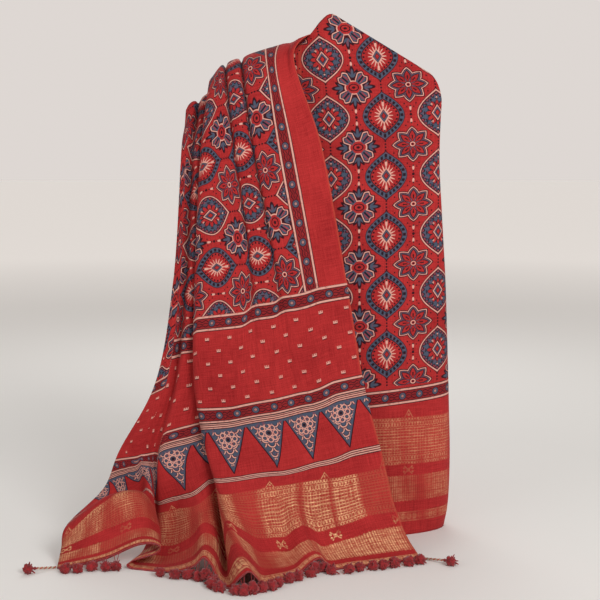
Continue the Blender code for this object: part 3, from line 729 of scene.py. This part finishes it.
# ---- the print and the woven bands --------------------------------------------------------------
# Motifs are drawn in millimetres. Each gives three masks over the red ground, in the order they are laid:
# blue, cream and dark.
Masks = namedtuple("Masks", "blue cream dark")
LENGTHWISE, ACROSS = 106.0, 101.0  # the field's repeat, as the motifs are drawn
OGEE_LONG, OGEE_WIDE = 42, 38  # from the ogee's middle to its ends and to its sides


def either(choice, one, other):
    """one's masks where choice is 1, and the other's where it is 0."""
    return Masks(*((a - b) * choice + b for a, b in zip(one, other)))


def over(below, above):
    """Two sets of masks that don't meet."""
    return Masks(*(a | b for a, b in zip(below, above)))


def within(masks, where):
    """Masks that end where where does."""
    return Masks(*(m * where for m in masks))


def between(value, low, high, soft=SOFT):
    """1 where value lies between the two, with soft edges."""
    middle, half = (low + high) / 2, (high - low) / 2
    return (half - abs(value - middle)).inside(soft)


def oval(x, y, at_x, at_y, half_x, half_y):
    """How far a point lies inside an oval, in millimetres of its smaller half."""
    return (1 - ((x - at_x) / half_x).length_with((y - at_y) / half_y)) * min(half_x, half_y)


def ogee_depth(x, y):
    """How far a point lies inside the ogee's outline."""
    t = x / OGEE_LONG
    room = (1 - t * t) | 0.0
    steep = 1 / (t * t * 4.3 + 1) ** 0.5
    return (room**1.15 * OGEE_WIDE - y) * steep & (OGEE_LONG - x)


def rhombus_depth(x, y, half_x, half_y):
    """How far a point lies inside a rhombus, in millimetres of its smaller half."""
    return (1 - x / half_x - y / half_y) * min(half_x, half_y) * 0.8


def ringed_ogee(x, y, depth, turn):
    """A ring of squares round a sunburst with an eye."""
    band = between(depth, -0.4, 8.6)
    squares = between(depth, 1.6, 7.0) * ((turn * 24).cosine() + 0.15).inside(0.5)
    edges = between(depth, -2.0, -0.2) | between(depth, 8.0, 9.8)
    thorns = between(depth, 10.8, 14.4) * ((turn * 24).cosine() - 0.1).inside(0.5)
    rays = (abs((turn * 8).cosine()) ** 4 * 8.5 + 9.0 - (x * 0.86).length_with(y)).inside()
    pods = oval(x, y, 22.0, 0, 6.0, 2.3).inside()
    eye = rhombus_depth(x, y, 14.5, 10.5)
    pupil = between(eye, 1.8, 4.6)
    cream = (rays | eye.inside()) * (1 - (eye - 1.8).inside()) | pods
    rims = between(eye, 4.6, 5.6) | between(eye, 1.5, 2.4) * 0.7
    return Masks(band | pupil, cream, squares | edges | thorns | rims)


def dark_ogee(x, y, depth, turn):
    """A cream outline, a toothed ring, petals and a small rhombus."""
    reach = x.length_with(y)
    outline = between(depth, -0.2, 2.1)
    edge = between(depth, -2.0, -0.2) | between(depth, 2.1, 3.8)
    wave = abs((turn * 13).cosine())
    teeth = between(wave * 5.0 + 3.6 - depth, -0.9, 1.5) * (depth - 3).inside()
    notches = (wave * 5.0 + 2.4 - depth).inside() * (depth - 3.6).inside()
    inner = (depth - 3).inside()
    petal = abs((turn * 6).cosine()) * 9.5 + 12.5 - reach
    petals = petal.inside()
    rhombus = rhombus_depth(x, y, 14.5, 11.5)
    frame_line = between(rhombus, 0, 1.9)
    dots = oval(x, y, 15, 11, 2.1, 2.1).inside() | oval(x, y, 26, 0, 2.4, 1.6).inside()
    seeds = between(reach, 24.0, 26.0) * ((turn * 12).cosine() - 0.1).inside(0.5) * (depth - 9).inside()
    middle = between(rhombus, 1.9, 5.0)
    veins = between(reach, 13, 20) * ((turn * 12).cosine() * -1 - 0.75).inside(0.4)
    blue = inner * (1 - petals) * (1 - notches * 0.55) | middle
    dark = edge | teeth | between(petal, -1.6, 0.2) * inner * 0.9 | seeds | veins | between(rhombus, 4.7, 6.0)
    return Masks(blue, outline | frame_line | dots, dark | between(rhombus, -1.6, 0.0))


def leaf(x, y):
    """How far a point lies inside a three-pointed leaf."""
    out = x - 17.0
    point = oval(x, y, 25.5, 0, 8.5, 2.7)
    return point | oval(out * 0.8 + y * 0.6, out * 0.6 - y * 0.8, 6.5, 0, 6.5, 2.0)


def flower(x, y):
    """Four broad petals round one oval heart, and three-pointed leaves between them."""
    along, aside = x * 0.70 + y * 0.71, abs(x * 0.71 - y * 0.70)
    reach = x.length_with(y)
    far = along.length_with(aside)
    petal = (along * 0.42 + 1.6 - aside) * 0.92 & (31.5 - far - (aside * 0.42).cosine() * 1.8)
    petal = petal & oval(along, aside, 18.0, 0, 15.5, 12.0) + 0.8
    shape = petal | oval(x, y, 0, 0, 12.5, 17.0)
    leaves = leaf(x, y) | leaf(y - 1.5, x)
    apart = 1 - shape.inside()
    body = (petal - 1.8).inside() * (reach - 11.0).inside()
    veins = between(aside, 2.6, 4.0) * between(along, 16, 28)
    midrib = (1.5 - aside).inside() * between(along, 13, 28)
    inner = between(petal, 1.8, 3.2) * (far - 13).inside()
    outlines = (between(shape, -1.8, 0.0) | between(leaves, -1.6, 0.3)) * apart
    heart = oval(x, y, 0, 0, 6.0, 9.0)
    middle = (heart - 3.8).inside() | between(heart, -0.6, 0.9)
    blue = (body | leaves.inside() * apart) * (1 - veins)
    return Masks(blue, between(shape, 0.0, 1.9), (midrib | inner * 0.8) * body | outlines | middle)


def star(x, y):
    """Eight points with a cream outline, a blue band and eight petals."""
    wide, tall = x * (32 / 29), y * (32 / 35.5)
    reach = wide.length_with(tall)
    turn = tall.angle_with(wide)
    corner = turn.from_middle(math.pi / 4)
    depth = 34.5 - corner * 25 - reach
    outline = between(depth, 0.4, 2.6)
    edges = between(depth, -1.6, 0.4) | between(depth, 2.6, 4.2)
    band = between(depth, 3.9, 6.8)
    petal = (0.35 - corner - abs(reach - 14.5) * 0.027) * 30
    inner = (depth - 6.0).inside() * (reach - 5.5).inside()
    cores = between(reach, 10.5, 18.0) * (0.075 - corner).inside(0.05)
    ring = between(reach, 2.9, 4.9)
    dots = oval(x, y, 33.5, 11, 1.4, 1.4) | oval(x, y, 14, 35.5, 1.4, 1.4) | oval(x, y, 38, 0, 1.5, 1.5)
    blue = band * 0.9 | inner * (1 - petal.inside()) * 0.65
    outlines = between(petal, -1.6, 0.6) * inner | between(depth, 6.6, 8.0) * 0.8
    dark = edges | cores | outlines | dots.inside()
    return Masks(blue, outline | ring, dark | between(reach, 4.9, 6.1) | (1.8 - reach).inside())


def field(along, beside, lengthwise, across):
    """The all-over print: rows of dark and of ringed ogees in turn, with flowers and stars between them."""
    a, b = along * (LENGTHWISE / lengthwise), beside * (ACROSS / across)
    x, y = a.from_middle(LENGTHWISE), b.from_middle(ACROSS)
    far_x = (a + LENGTHWISE / 2).from_middle(LENGTHWISE)
    far_y = (b + ACROSS / 2).from_middle(ACROSS)
    depth = ogee_depth(x, y)
    turn = (y * 1.08).angle_with(x)
    ringed = (b / ACROSS + 0.5) % 2 > 1
    starred = b / ACROSS % 2 > 1
    ogees = either(ringed, ringed_ogee(x, y, depth, turn), dark_ogee(x, y, depth, turn))
    ogees = within(ogees, (depth + 1.2).inside())
    blooms = within(either(starred, star(far_x, far_y), flower(far_x, far_y)), (-0.6 - depth).inside())
    beads = oval(far_x, y, 2.7, 0, 1.7, 1.7) | oval(far_x, y, 8.2, 0, 1.7, 1.7)
    for at_x, at_y, size in ((0, 0, 2.5), (5.5, 0, 1.5), (13.5, 6.5, 1.2)):
        beads = beads | oval(x, far_y, at_x, at_y, size, size)
    pods = oval(x, far_y, 11.5, 0, 4.2, 2.1)
    links = Masks(beads * 0, pods.inside(), beads.inside())
    return over(over(ogees, blooms), links)


def circle_band(along, off):
    """A band of rings between cream lines. off is the distance from its middle."""
    side = abs(off)
    ring = along.from_middle(32).length_with(off)
    wave = (along * (2 * math.pi / 10.7)).cosine()
    strands = (0.9 - abs(side - 4.4 - wave * 1.3)).inside() | (0.7 - abs(off - wave * 0.8)).inside()
    blue = between(ring, 2.6, 6.0)
    cream = between(side, 9.8, 13.4) | (2.2 - ring).inside()
    ground = (9.6 - side).inside() * 0.42 * (1 - blue)
    edges = between(side, 8.4, 9.8) | between(side, 13.4, 14.8)
    rims = between(ring, 5.8, 7.3) | between(ring, 2.1, 2.9) * 0.6
    dark = edges | rims | strands * (ring - 7.8).inside() | ground
    return within(Masks(blue, cream, dark), (14.8 - side).inside())


def triple_lines(off):
    """Three thin cream lines on dark. off is the distance from the middle one."""
    side = abs(off)
    step = side.from_middle(3.6)
    cream = (1.1 - step).inside(0.7) * (4.9 - side).inside(0.7)
    dark = ((step - 1.1).inside(0.7) | (side - 4.5).inside(0.7)) * (6.0 - side).inside(0.8)
    return Masks(side * 0, cream, dark)


PENNANT_PITCH, PENNANT_DEPTH = 73, 85
SCALLOP_PITCH, SCALLOP_ROW = 16.0, 8.8
MARK_PITCH, MARK_ROW, FIRST_MARK = 46.6, 22.2, 31.8


def pennants(across, up):
    """Pennants filled with a rosette and rows of scallops. up is the height above their points."""
    x = across.from_middle(PENNANT_PITCH)
    depth = (up * (PENNANT_PITCH / 2 / PENNANT_DEPTH) - x) * 0.92
    room = ((depth - 3.8) & (78.5 - up) & (up - 10)).inside()
    drop = 79 - up
    turned = (drop / SCALLOP_ROW).floor() % 2
    scallop = (x + turned * (SCALLOP_PITCH / 2)).from_middle(SCALLOP_PITCH).length_with(drop % SCALLOP_ROW)
    over_heart = up - 63
    reach = x.length_with(over_heart)
    spoke = x.angle_with(over_heart).from_middle(math.pi / 4)
    petal = (reach - 12.4).length_with(spoke * 12.4)
    rosette = (17.8 - reach).inside()
    rings = between(scallop, 5.4, 7.6) * (1 - rosette)
    petals = (between(petal, 3.1, 5.1) * (reach - 7.2).inside() | between(reach, 5.2, 7.2)) * rosette
    blue = depth.inside() * (86 - up).inside() | (up - 79).inside()
    heart = (3.0 - reach).inside() | (between(reach, 3.8, 5.2) | between(petal, 2.0, 3.1)) * rosette * 0.7
    shades = (between(scallop, 4.1, 5.3) | between(scallop, 7.6, 8.7)) * (1 - rosette) * room * 0.8
    dark = between(depth, -1.2, 0.8) * (80 - up).inside() | heart | shades
    return within(Masks(blue, (rings | petals) * room, dark), (86.5 - up).inside() * (up + 1.5).inside())


def small_marks(across, up):
    """Little combs in staggered rows."""
    row = (up / MARK_ROW).floor()
    x = (across - FIRST_MARK + row % 2 * (MARK_PITCH / 2)).from_middle(MARK_PITCH)
    y = up % MARK_ROW - 9
    teeth = (1.0 - x.from_middle(3.4)).inside(0.8) * between(y, -0.6, 2.9)
    bar = between(y, -1.9, 0.2)
    wide = (3.9 - x).inside(0.8)
    return Masks(x * 0, (teeth | bar) * wide, between(y, -3.6, -1.9) * wide * 0.8)


# ---- the gold -----------------------------------------------------------------------------------
# The low and high edge of each woven band, and where along them the first ornament stands. The same names
# also hold how fully each of them covers.
GoldBands = namedtuple("GoldBands", "knots uprights block ornaments")


def gold_block(across, up, low, high):
    """Two rows of little arches at each toothed edge, and fine rules between them."""
    x = across.from_middle(5.4)
    edge = (up - low) & (high - up)
    row = edge % 10.5
    arches = between(x.length_with((row - 4.6) | 0.0), 1.1, 2.7) | between(row, 8.7, 10.4)
    rules = between(edge % 5.6, 1.2, 3.4) | (x - 1.9).inside(0.8) * 0.55
    cells = ((rules - arches) * (edge - 21).inside(1.0) + arches) * 0.84 + 0.16
    return cells * (edge - x * 0.9).inside(1.2)


def gold_uprights(across, up, low, high):
    """Fine upright lines."""
    line = (across.from_middle(4.2) - 0.7).inside(1.0) * 0.75 + 0.2
    row = (up.from_middle(11) - 0.9).inside(1.4) * 0.45 + 0.55
    return line * row * (((up - low) & (high - up)) - across.from_middle(7.2) * 0.5).inside(1.2)


def gold_knots(across, up, low, high):
    """A narrow band of knots."""
    knot = across.from_middle(11).length_with((up - (low + high) / 2) * 0.9)
    rails = between(up, low, low + 2.6) | between(up, high - 2.6, high)
    comb = (across.from_middle(3.4) - 0.6).inside(0.9) * between(up, low + 1, high - 1)
    return (5.2 - knot).inside(1.5) | rails * 0.8 | comb * 0.45


def gold_ornaments(across, up, cross_at, spire_at):
    """A small knotted cross in the gap under the block and a spire on top of it, at each repeat."""
    x, y = across.from_middle(106), up - cross_at
    high = abs(y)
    cross = (1.6 - abs(x - high)).inside() * (8.0 - (x | high)).inside()
    knots = (3.4 - x.length_with(y)).inside() | (2.2 - (x - 8.0).length_with(high - 3.0)).inside()
    rise = up - spire_at
    slope = 7.5 - rise * 0.55 - x
    spire = between(slope, -0.2, 1.8) | (2.4 - x.length_with(rise - 3.5)).inside()
    return cross | knots | spire * (rise + 1).inside() * (slope + 1).inside()


def gold_bands(x, y, at, cover=GoldBands(1, 1, 1, 1)):
    """All the gold of one end. cover is how fully each kind covers."""
    gap = (at.uprights[1] + at.block[0]) / 2
    gold = gold_block(x, y, *at.block) * cover.block | gold_uprights(x, y, *at.uprights) * cover.uprights
    gold = gold | gold_knots(x, y, *at.knots) * cover.knots
    return gold | gold_ornaments(x - at.ornaments, y, gap, at.block[1]) * cover.ornaments


# ---- the cloth as a surface ---------------------------------------------------------------------
# Where each band lies on the flat cloth, in millimetres from the hem.
PANEL_GOLD, PANEL_COVER = GoldBands((25, 43), (62, 110), (128, 215), 90), GoldBands(0.7, 0.80, 0.86, 0.7)
PANEL_RINGS, PANEL_FIELD = 237, 262
PANEL_BENDS_FROM = 640  # above this height the panel's pattern bends towards the peak
RINGS_SLANT, FIELD_SLANT, ROWS_SLANT = 0.085, 0.055, 0.008  # how the panel's pattern leans as it is wrapped
END_GOLD = GoldBands((5, 23), (41, 89), (113, 197), 108)
LOWER_LINES, PENNANT_TIPS, UPPER_LINES = 229.5, 242, 331.5
LOWER_RINGS, MARKS, UPPER_RINGS, END_FIELD = 350, (366, 499), 515, 529
BETWEEN_RINGS = 432  # above this place the upper band of rings begins to count
STRIP_EDGE, SIDE_RINGS = 80, 65.5  # the outer edge and the middle of the band of rings along the plain strip
RINGS_CLOSER = 0.92  # the share of their pitch at which the rings follow one another across the cloth
# Where the first ogee is drawn, and the print's repeat along and across its rows.
PANEL_OGEE, PANEL_REPEAT = (530.5, 60.0), (105.2, 97.0)
END_OGEE, END_REPEAT = (57, 866), (103.0, 86.5)
FIRST_PENNANT, FIRST_RING = 52, -8
GLINTS_CHANGE = 101  # the gold's painted highlights lie on other folds above this than below
LEFT_FLAP = 340  # where the left flap begins, across the cloth
WEAVE = 0.0011  # the pitch of the threads, in metres
MILLIMETRES = 1000  # to the metre
SELVEDGE_HIGHLIGHT = 0.56, 0.08, 0.045, 1  # a painted highlight: the paler line along the cloth's edge, where its rolled selvedge catches the light


def printed_cloth(name, look, draw):
    """The finished cloth: dyes in the masks' order, gold thread, and the weave under them all.

    draw gives the masks, the gold and its painted glints (how bright the gold is painted), from the place in
    millimetres and from broad patches of painted highlight.
    """
    sheen = {"Sheen_Weight": 0.03, "Sheen_Roughness": 0.5}
    graph = Graph(bpy.data.materials.new(name), Specular_IOR_Level=0.12, **sheen)
    place = graph.node("UVMap", {"uv_map": "cut"})
    across, up = (graph.node("SeparateXYZ", {}, [place], axis) for axis in "XY")
    # Broad random patches where the gold is painted bright: painted highlights.
    broad = (graph.noise(place, (20.0, 4.0, 1.0), 1.0) - 0.47).inside(0.16)
    masks, gold, painted_glint = draw(across * MILLIMETRES, up * MILLIMETRES, broad)

    warp, weft = graph.noise(place, (620.0, 30.0, 1.0)), graph.noise(place, (26.0, 560.0, 1.0))
    fade = (warp + weft) * 0.5
    shade = fade * 2.1 + graph.noise(place, 9.0, 3.0) * 1.1 + graph.noise(place, 700.0) * 1.3 - 1.75
    deep = [0.62 * c for c in look.red]
    light = [min(1, c * more) for c, more in zip(look.red, (1.25, 1.9, 1.6))]
    red = graph.mix((shade | 0.0) & 1.0, (*deep, 1), (*light, 1))
    # A painted highlight: a paler line where across is near 0, which is the right selvedge of the pleated end.
    red = graph.mix((0.0028 - abs(across)).inside(0.001) * 0.45, red, SELVEDGE_HIGHLIGHT)
    rub = 1 - (graph.noise(place, 160.0) - 0.62).inside(0.18) * 0.45
    colour = graph.mix(masks.blue * rub * (1 - masks.cream), red, (*look.blue, 1))
    colour = graph.mix(masks.cream * rub * 0.95, colour, (*look.cream, 1))
    colour = graph.mix(masks.dark * 0.96, colour, (*look.dark, 1))

    thread = gold & 1.0
    # Painted highlights on the gold: its colour goes from its painted shade to its bright colour by the glints
    # along its threads, and it covers more of the red where they are bright. The same glints make it smoother
    # and more metallic.
    upright, level = graph.noise(place, (340.0, 26.0, 1.0), 1.0), graph.noise(place, (40.0, 420.0, 1.0), 1.0)
    spark = graph.noise(place, (190.0, 330.0, 1.0)) * 1.5 + (upright * 1.4 + level * 1.6) - 1.75
    shine = (spark * painted_glint) & 1.0
    zari = graph.mix(shine, (*look.gold_in_painted_shade, 1), (*look.gold, 1))
    colour = graph.mix(thread * (painted_glint * 0.70 + 0.30), colour, zari)
    over_under = (across * (2 * math.pi / WEAVE)).cosine() * (up * (2 * math.pi / WEAVE)).cosine()
    threads = graph.bump(over_under * 0.10 + fade * 0.5 + thread * 0.35, 0.0006)
    glow = thread * shine
    rough = 0.82 - glow * 0.42
    return graph.give({"Base Color": colour, "Roughness": rough, "Metallic": glow * 0.55, "Normal": threads})


def wrapped_print(x, y, broad):
    """The wrapped panel: gold bands at the foot, one band of rings, and the all-over print."""
    level = y - x * FIELD_SLANT
    bend = (y - PANEL_BENDS_FROM) | 0.0
    aside = x + y * ROWS_SLANT + bend * bend * 0.00032
    masks = field(level - PANEL_OGEE[0], aside - PANEL_OGEE[1], *PANEL_REPEAT)
    masks = within(masks, (level - PANEL_FIELD).inside())
    masks = over(masks, circle_band(x - FIRST_RING, y - x * RINGS_SLANT - PANEL_RINGS))
    # The gold's painted highlights lie in the broad patches.
    return masks, gold_bands(x, y, PANEL_GOLD, PANEL_COVER), broad * 0.52 + 0.05


def pleated_print(x, y, broad):
    """The pleated end: gold by the hem, pennants, small marks and rings, and the all-over print above."""
    above = (y - END_FIELD).inside()
    masks = field(x - END_OGEE[0], END_OGEE[1] - y, *END_REPEAT)
    masks = within(masks, above * (x - STRIP_EDGE).inside())
    along = (y - x * RINGS_CLOSER) * above + x * RINGS_CLOSER
    from_rings = y - UPPER_RINGS
    off = (x - SIDE_RINGS - from_rings) * above + (from_rings & 1000.0)
    off = (y - LOWER_RINGS - off) * (y < BETWEEN_RINGS) + off
    masks = over(masks, circle_band(along, off))
    lines = over(triple_lines(y - LOWER_LINES), triple_lines(y - UPPER_LINES))
    marks = within(small_marks(x, y - MARKS[0]), between(y, *MARKS))
    masks = over(over(masks, pennants(x - FIRST_PENNANT, y - PENNANT_TIPS)), over(lines, marks))
    # Painted highlights: across the cloth, the folds on which the gold is painted bright, where it catches the
    # light.
    crest = between(x, 286, 322, 12) * 0.9
    upper = between(x, 52, 98, 8) | between(x, 104, 151, 7) | between(x, 160, 236, 14) * 0.85 | crest
    lower = between(x, 4, 152, 14) | between(x, 158, 245, 30) * 0.75 | crest
    near = (upper - lower) * (y > GLINTS_CHANGE) + lower
    # On the left flap the painted highlights lie in the broad patches instead.
    glow = (broad - near) * (x - LEFT_FLAP).inside(14) + near
    # A painted highlight along the gold by the hem.
    hem = (26 - y).inside(2) * 0.8
    return masks, gold_bands(x, y, END_GOLD), glow * 0.72 + 0.14 | hem


def wool(name, colour):
    """Soft wool, with lighter and darker strands."""
    graph = Graph(bpy.data.materials.new(name), Roughness=0.95, Sheen_Weight=0.25, Sheen_Roughness=0.5)
    where = graph.node("TexCoord", {}, (), "Object")
    strands = graph.noise(where, 900.0, 3.0)
    shade = (strands * 0.9 + graph.noise(where, 160.0) * 0.8 - 0.50) & 1.0
    deep = [0.22 * c for c in colour]
    light = [min(1.0, c * more) for c, more in zip(colour, (1.9, 2.2, 2.0))]
    tint = graph.mix(shade, (*deep, 1), (*light, 1))
    return graph.give({"Base Color": tint, "Normal": graph.bump(strands, 0.0008)})


# ---- settings -----------------------------------------------------------------------------------
def dye(name, description, default):
    """A colour that the user may change."""
    return FloatVectorProperty(name=name, description=description, subtype="COLOR", default=default)


class ClothSettings(PropertyGroup):
    """The cloth's thickness, its dyes and its gold."""

    thickness: FloatProperty(
        name="Thickness", description="How thick the cloth is modelled", default=CLOTH, unit="LENGTH"
    )
    red: dye("Red", "Madder ground", (0.42, 0.018, 0.021))
    blue: dye("Blue", "Faded indigo", (0.065, 0.085, 0.130))
    cream: dye("Cream", "Undyed lines", (0.70, 0.37, 0.30))
    dark: dye("Dark", "Printed black", (0.018, 0.006, 0.011))
    # The gold is painted in two colours: the first where a painted highlight falls on it, the second in painted
    # shade.
    gold: dye("Gold", "Bright zari", (0.98, 0.60, 0.31))
    gold_in_painted_shade: dye("Dull gold", "Zari in shade", (0.40, 0.085, 0.042))


class FringeSettings(PropertyGroup):
    """The pompoms and their cords."""

    wool: dye("Wool", "The pompoms", (0.34, 0.011, 0.016))
    cord: dye("Cord", "The corner cords", (0.48, 0.05, 0.03))
    pale: dye("Pale cord", "The cords' second strand", (0.78, 0.55, 0.36))
    wisps: IntProperty(name="Wisps", description="Wisps of wool on each pompom", default=34, min=0, max=60)


class StageSettings(PropertyGroup):
    """The camera and the light."""

    lens: FloatProperty(name="Lens", description="The camera's focal length in millimetres", default=72.0)
    pitch: FloatProperty(
        name="Pitch", description="How far the camera looks down", subtype="ANGLE", default=math.radians(6.9)
    )
    key: FloatProperty(name="Key light", description="The largest light's power in watts", default=50.0)
    fill: FloatProperty(name="Fill", description="The surrounding light's strength", default=1.0)


# ---- operators ----------------------------------------------------------------------------------
def lines_of(grid):
    """The places across the pleated end, counted in lines of PLEATS."""
    return np.linspace(0, len(PLEATS) - 1, grid.shape[1])


def dress(obj, material, slot, *nodes):
    """Gives a piece its material and ties it to the frame."""
    obj.data.materials.clear()
    obj.data.materials.append(material)
    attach(obj, "root")
    if nodes:
        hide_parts(*nodes)


class DRAPE_OT_wrapped_panel(Operator):
    """The smooth panel wrapped round behind the pleats"""

    bl_idname = "drape.wrapped_panel"
    bl_label = "Wrapped panel"

    def execute(self, context):
        look = context.scene.drape_cloth
        grid = panel_grid(PANEL_ROWS, PANEL_AROUND)
        cut = panel_cut(grid)
        heights = relief(cut[0], grid[:, :, 2], PANEL_CREASES, 1.0) * (grid[:, :, 1] < RIDGE_Y)
        grid = grid + surface_normals(grid) * heights[:, :, None]
        faces = ridge_faces(PANEL_ROWS, PANEL_AROUND)
        obj = sheet_object("wrapped_panel", grid, cut, look.thickness, -1, faces)
        dress(obj, printed_cloth("wrapped print", look, wrapped_print), "printed_cloth", "cloth")
        return {"FINISHED"}


class DRAPE_OT_pleated_end(Operator):
    """The pleated end that comes over the ridge and flows forward"""

    bl_idname = "drape.pleated_end"
    bl_label = "Pleated end"

    def execute(self, context):
        look = context.scene.drape_cloth
        grid = end_surface(END_ROWS, END_STEPS)
        cut = end_cut(grid, lines_of(grid))
        from_hem = lengths(grid[::-1], 0)[::-1]
        lines = np.broadcast_to(lines_of(grid), grid.shape[:2])
        heights = relief(lines, from_hem, END_CREASES, LINE_WIDTH)
        grid = grid + surface_normals(grid) * heights[:, :, None]
        grid[:, :, 2] = grid[:, :, 2].clip(CLOTH / 2)
        obj = sheet_object("pleated_end", grid, cut, look.thickness, 0)
        dress(obj, printed_cloth("pleated print", look, pleated_print), "printed_cloth", "cloth")
        return {"FINISHED"}


class DRAPE_OT_pompom_fringe(Operator):
    """The hem's heading with its strings and pompoms"""

    bl_idname = "drape.pompom_fringe"
    bl_label = "Pompom fringe"

    def execute(self, context):
        look = context.scene.drape_fringe
        grid = end_surface(END_ROWS, END_STEPS)
        obj = joined("pompoms", fringe_parts(grid, lines_of(grid), look.wisps))
        dress(obj, wool("pompom wool", look.wool), "pompom_wool", "pompom_fringe")
        return {"FINISHED"}


class DRAPE_OT_corner_tassels(Operator):
    """The twisted cords at the hem's corners, with their pompoms"""

    bl_idname = "drape.corner_tassels"
    bl_label = "Corner tassels"

    def execute(self, context):
        look = context.scene.drape_fringe
        colours = ("red yarn", look.cord), ("cream yarn", look.pale), ("tassel wool", look.wool)
        yarns = [wool(name, colour) for name, colour in colours]
        for row in TASSELS:
            (red, cream, *knot), ball = tassel_parts(row, look.wisps)
            obj = joined(row.name.replace("tassel", "cord"), [red, cream, *knot, *ball])
            dress(obj, yarns[0], "tassel_cord", row.name)
            for yarn in yarns[1:]:
                obj.data.materials.append(yarn)
            wisps = sum(len(sides) for _, sides in knot + ball)
            kinds = [0] * len(red[1]) + [1] * len(cream[1]) + [2] * wisps
            obj.data.polygons.foreach_set("material_index", kinds)
        return {"FINISHED"}


# ---- the stage ----------------------------------------------------------------------------------
CAMERA = 0.088, -2.0301, 0.6796
LIT_PLACE = 0.0, 0.0, 0.45  # what the lights point at
LIGHTS = chart(
    "name place size share",
    ("key", (1.5, -2.3, 2.0), 1.2, 1.0),
    ("side", (-1.9, -1.6, 1.5), 1.8, 0.16),
    ("back", (0.0, 1.9, 1.9), 1.5, 0.30),
)
HORIZON, ABOVE = (0.73, 0.68, 0.65, 1), (0.40, 0.39, 0.38, 1)
HORIZON_TOP = 0.15, 0.45  # sines of the angles between which the horizon's light gives way to that above
FLOOR_REACHES = 30.0
FLOOR_FADE, FLOOR_GLOW = (1.0, 6.0), (0.36, 0.33, 0.31, 1)


def pale_floor():
    """A plain floor that glows a little far from the cloth, so that it fades into the pale horizon."""
    base = 0.86, 0.84, 0.81, 1
    graph = Graph(bpy.data.materials.new("pale floor"), Base_Color=base, Roughness=0.9, Emission_Strength=1.0)
    far = graph.node("VectorMath", {"operation": "LENGTH"}, [graph.node("TexCoord", {}, (), "Object")])
    share = ((far - FLOOR_FADE[0]) / (FLOOR_FADE[1] - FLOOR_FADE[0]) | 0.0) & 1.0
    glow = graph.mix(share, (0, 0, 0, 1), FLOOR_GLOW)
    return graph.give({"Specular IOR Level": 0.15, "Emission Color": glow})


def soft_room(fill):
    """Even light that is brightest near the horizon, as in a pale room."""
    graph = Graph(bpy.data.worlds.new("soft room"), "Background", Strength=fill)
    up = graph.node("SeparateXYZ", {}, [graph.node("TexCoord", {}, (), "Generated")], "Z")
    share = graph.node("MapRange", {}, {"Value": up, "From Min": HORIZON_TOP[0], "From Max": HORIZON_TOP[1]})
    return graph.give({"Color": graph.mix(share, HORIZON, ABOVE)})


class DRAPE_OT_stage(Operator):
    """A plain pale floor, soft light and the camera"""

    bl_idname = "drape.stage"
    bl_label = "Stage"

    def execute(self, context):
        look, scene = context.scene.drape_stage, context.scene
        mesh = bpy.data.meshes.new("floor")
        corners = [(x * FLOOR_REACHES, y * FLOOR_REACHES, 0) for x, y in ((-1, -1), (1, -1), (1, 1), (-1, 1))]
        mesh.from_pydata(corners, [], [[0, 1, 2, 3]])
        mesh.materials.append(pale_floor())
        linked("floor", mesh)

        scene.camera = linked("camera", bpy.data.cameras.new("camera"))
        scene.camera.data.lens, scene.camera.data.sensor_width = look.lens, 36.0
        scene.camera.location = CAMERA
        scene.camera.rotation_euler = (math.pi / 2 - look.pitch, 0, 0)

        scene.world = soft_room(look.fill)
        for row in LIGHTS:
            light = linked(row.name, bpy.data.lights.new(row.name, "AREA"))
            light.data.size, light.data.energy = row.size, row.share * look.key
            light.location = row.place
            light.rotation_euler = (Vector(LIT_PLACE) - Vector(row.place)).to_track_quat("-Z", "Y").to_euler()
        scene.view_settings.view_transform = "Standard"
        return {"FINISHED"}


class DRAPE_PT_pieces(Panel):
    """The draped cloth's pieces and settings"""

    bl_idname = "DRAPE_PT_pieces"
    bl_label = "Draped cloth"
    bl_space_type = "VIEW_3D"
    bl_region_type = "UI"
    bl_category = "Drape"

    def draw(self, context):
        for group in ("drape_cloth", "drape_fringe", "drape_stage"):
            settings = getattr(context.scene, group)
            box = self.layout.box()
            for name in settings.__annotations__:
                box.prop(settings, name)
        for operator in OPERATORS:
            self.layout.operator(operator.bl_idname)


OPERATORS = (
    DRAPE_OT_wrapped_panel,
    DRAPE_OT_pleated_end,
    DRAPE_OT_pompom_fringe,
    DRAPE_OT_corner_tassels,
    DRAPE_OT_stage,
)
GROUPS = {"drape_cloth": ClothSettings, "drape_fringe": FringeSettings, "drape_stage": StageSettings}


def register():
    """Adds the settings, the operators and the panel to Blender."""
    for made in (*GROUPS.values(), *OPERATORS, DRAPE_PT_pieces):
        bpy.utils.register_class(made)
    for name, group in GROUPS.items():
        setattr(bpy.types.Scene, name, PointerProperty(type=group))


def unregister():
    """Takes them away again."""
    for name in GROUPS:
        delattr(bpy.types.Scene, name)
    for made in (DRAPE_PT_pieces, *reversed(OPERATORS), *GROUPS.values()):
        bpy.utils.unregister_class(made)


def main():
    """Makes every piece in order."""
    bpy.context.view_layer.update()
    register()
    for operator in OPERATORS:
        group, name = operator.bl_idname.split(".")
        getattr(getattr(bpy.ops, group), name)()


if __name__ == "__main__":
    main()
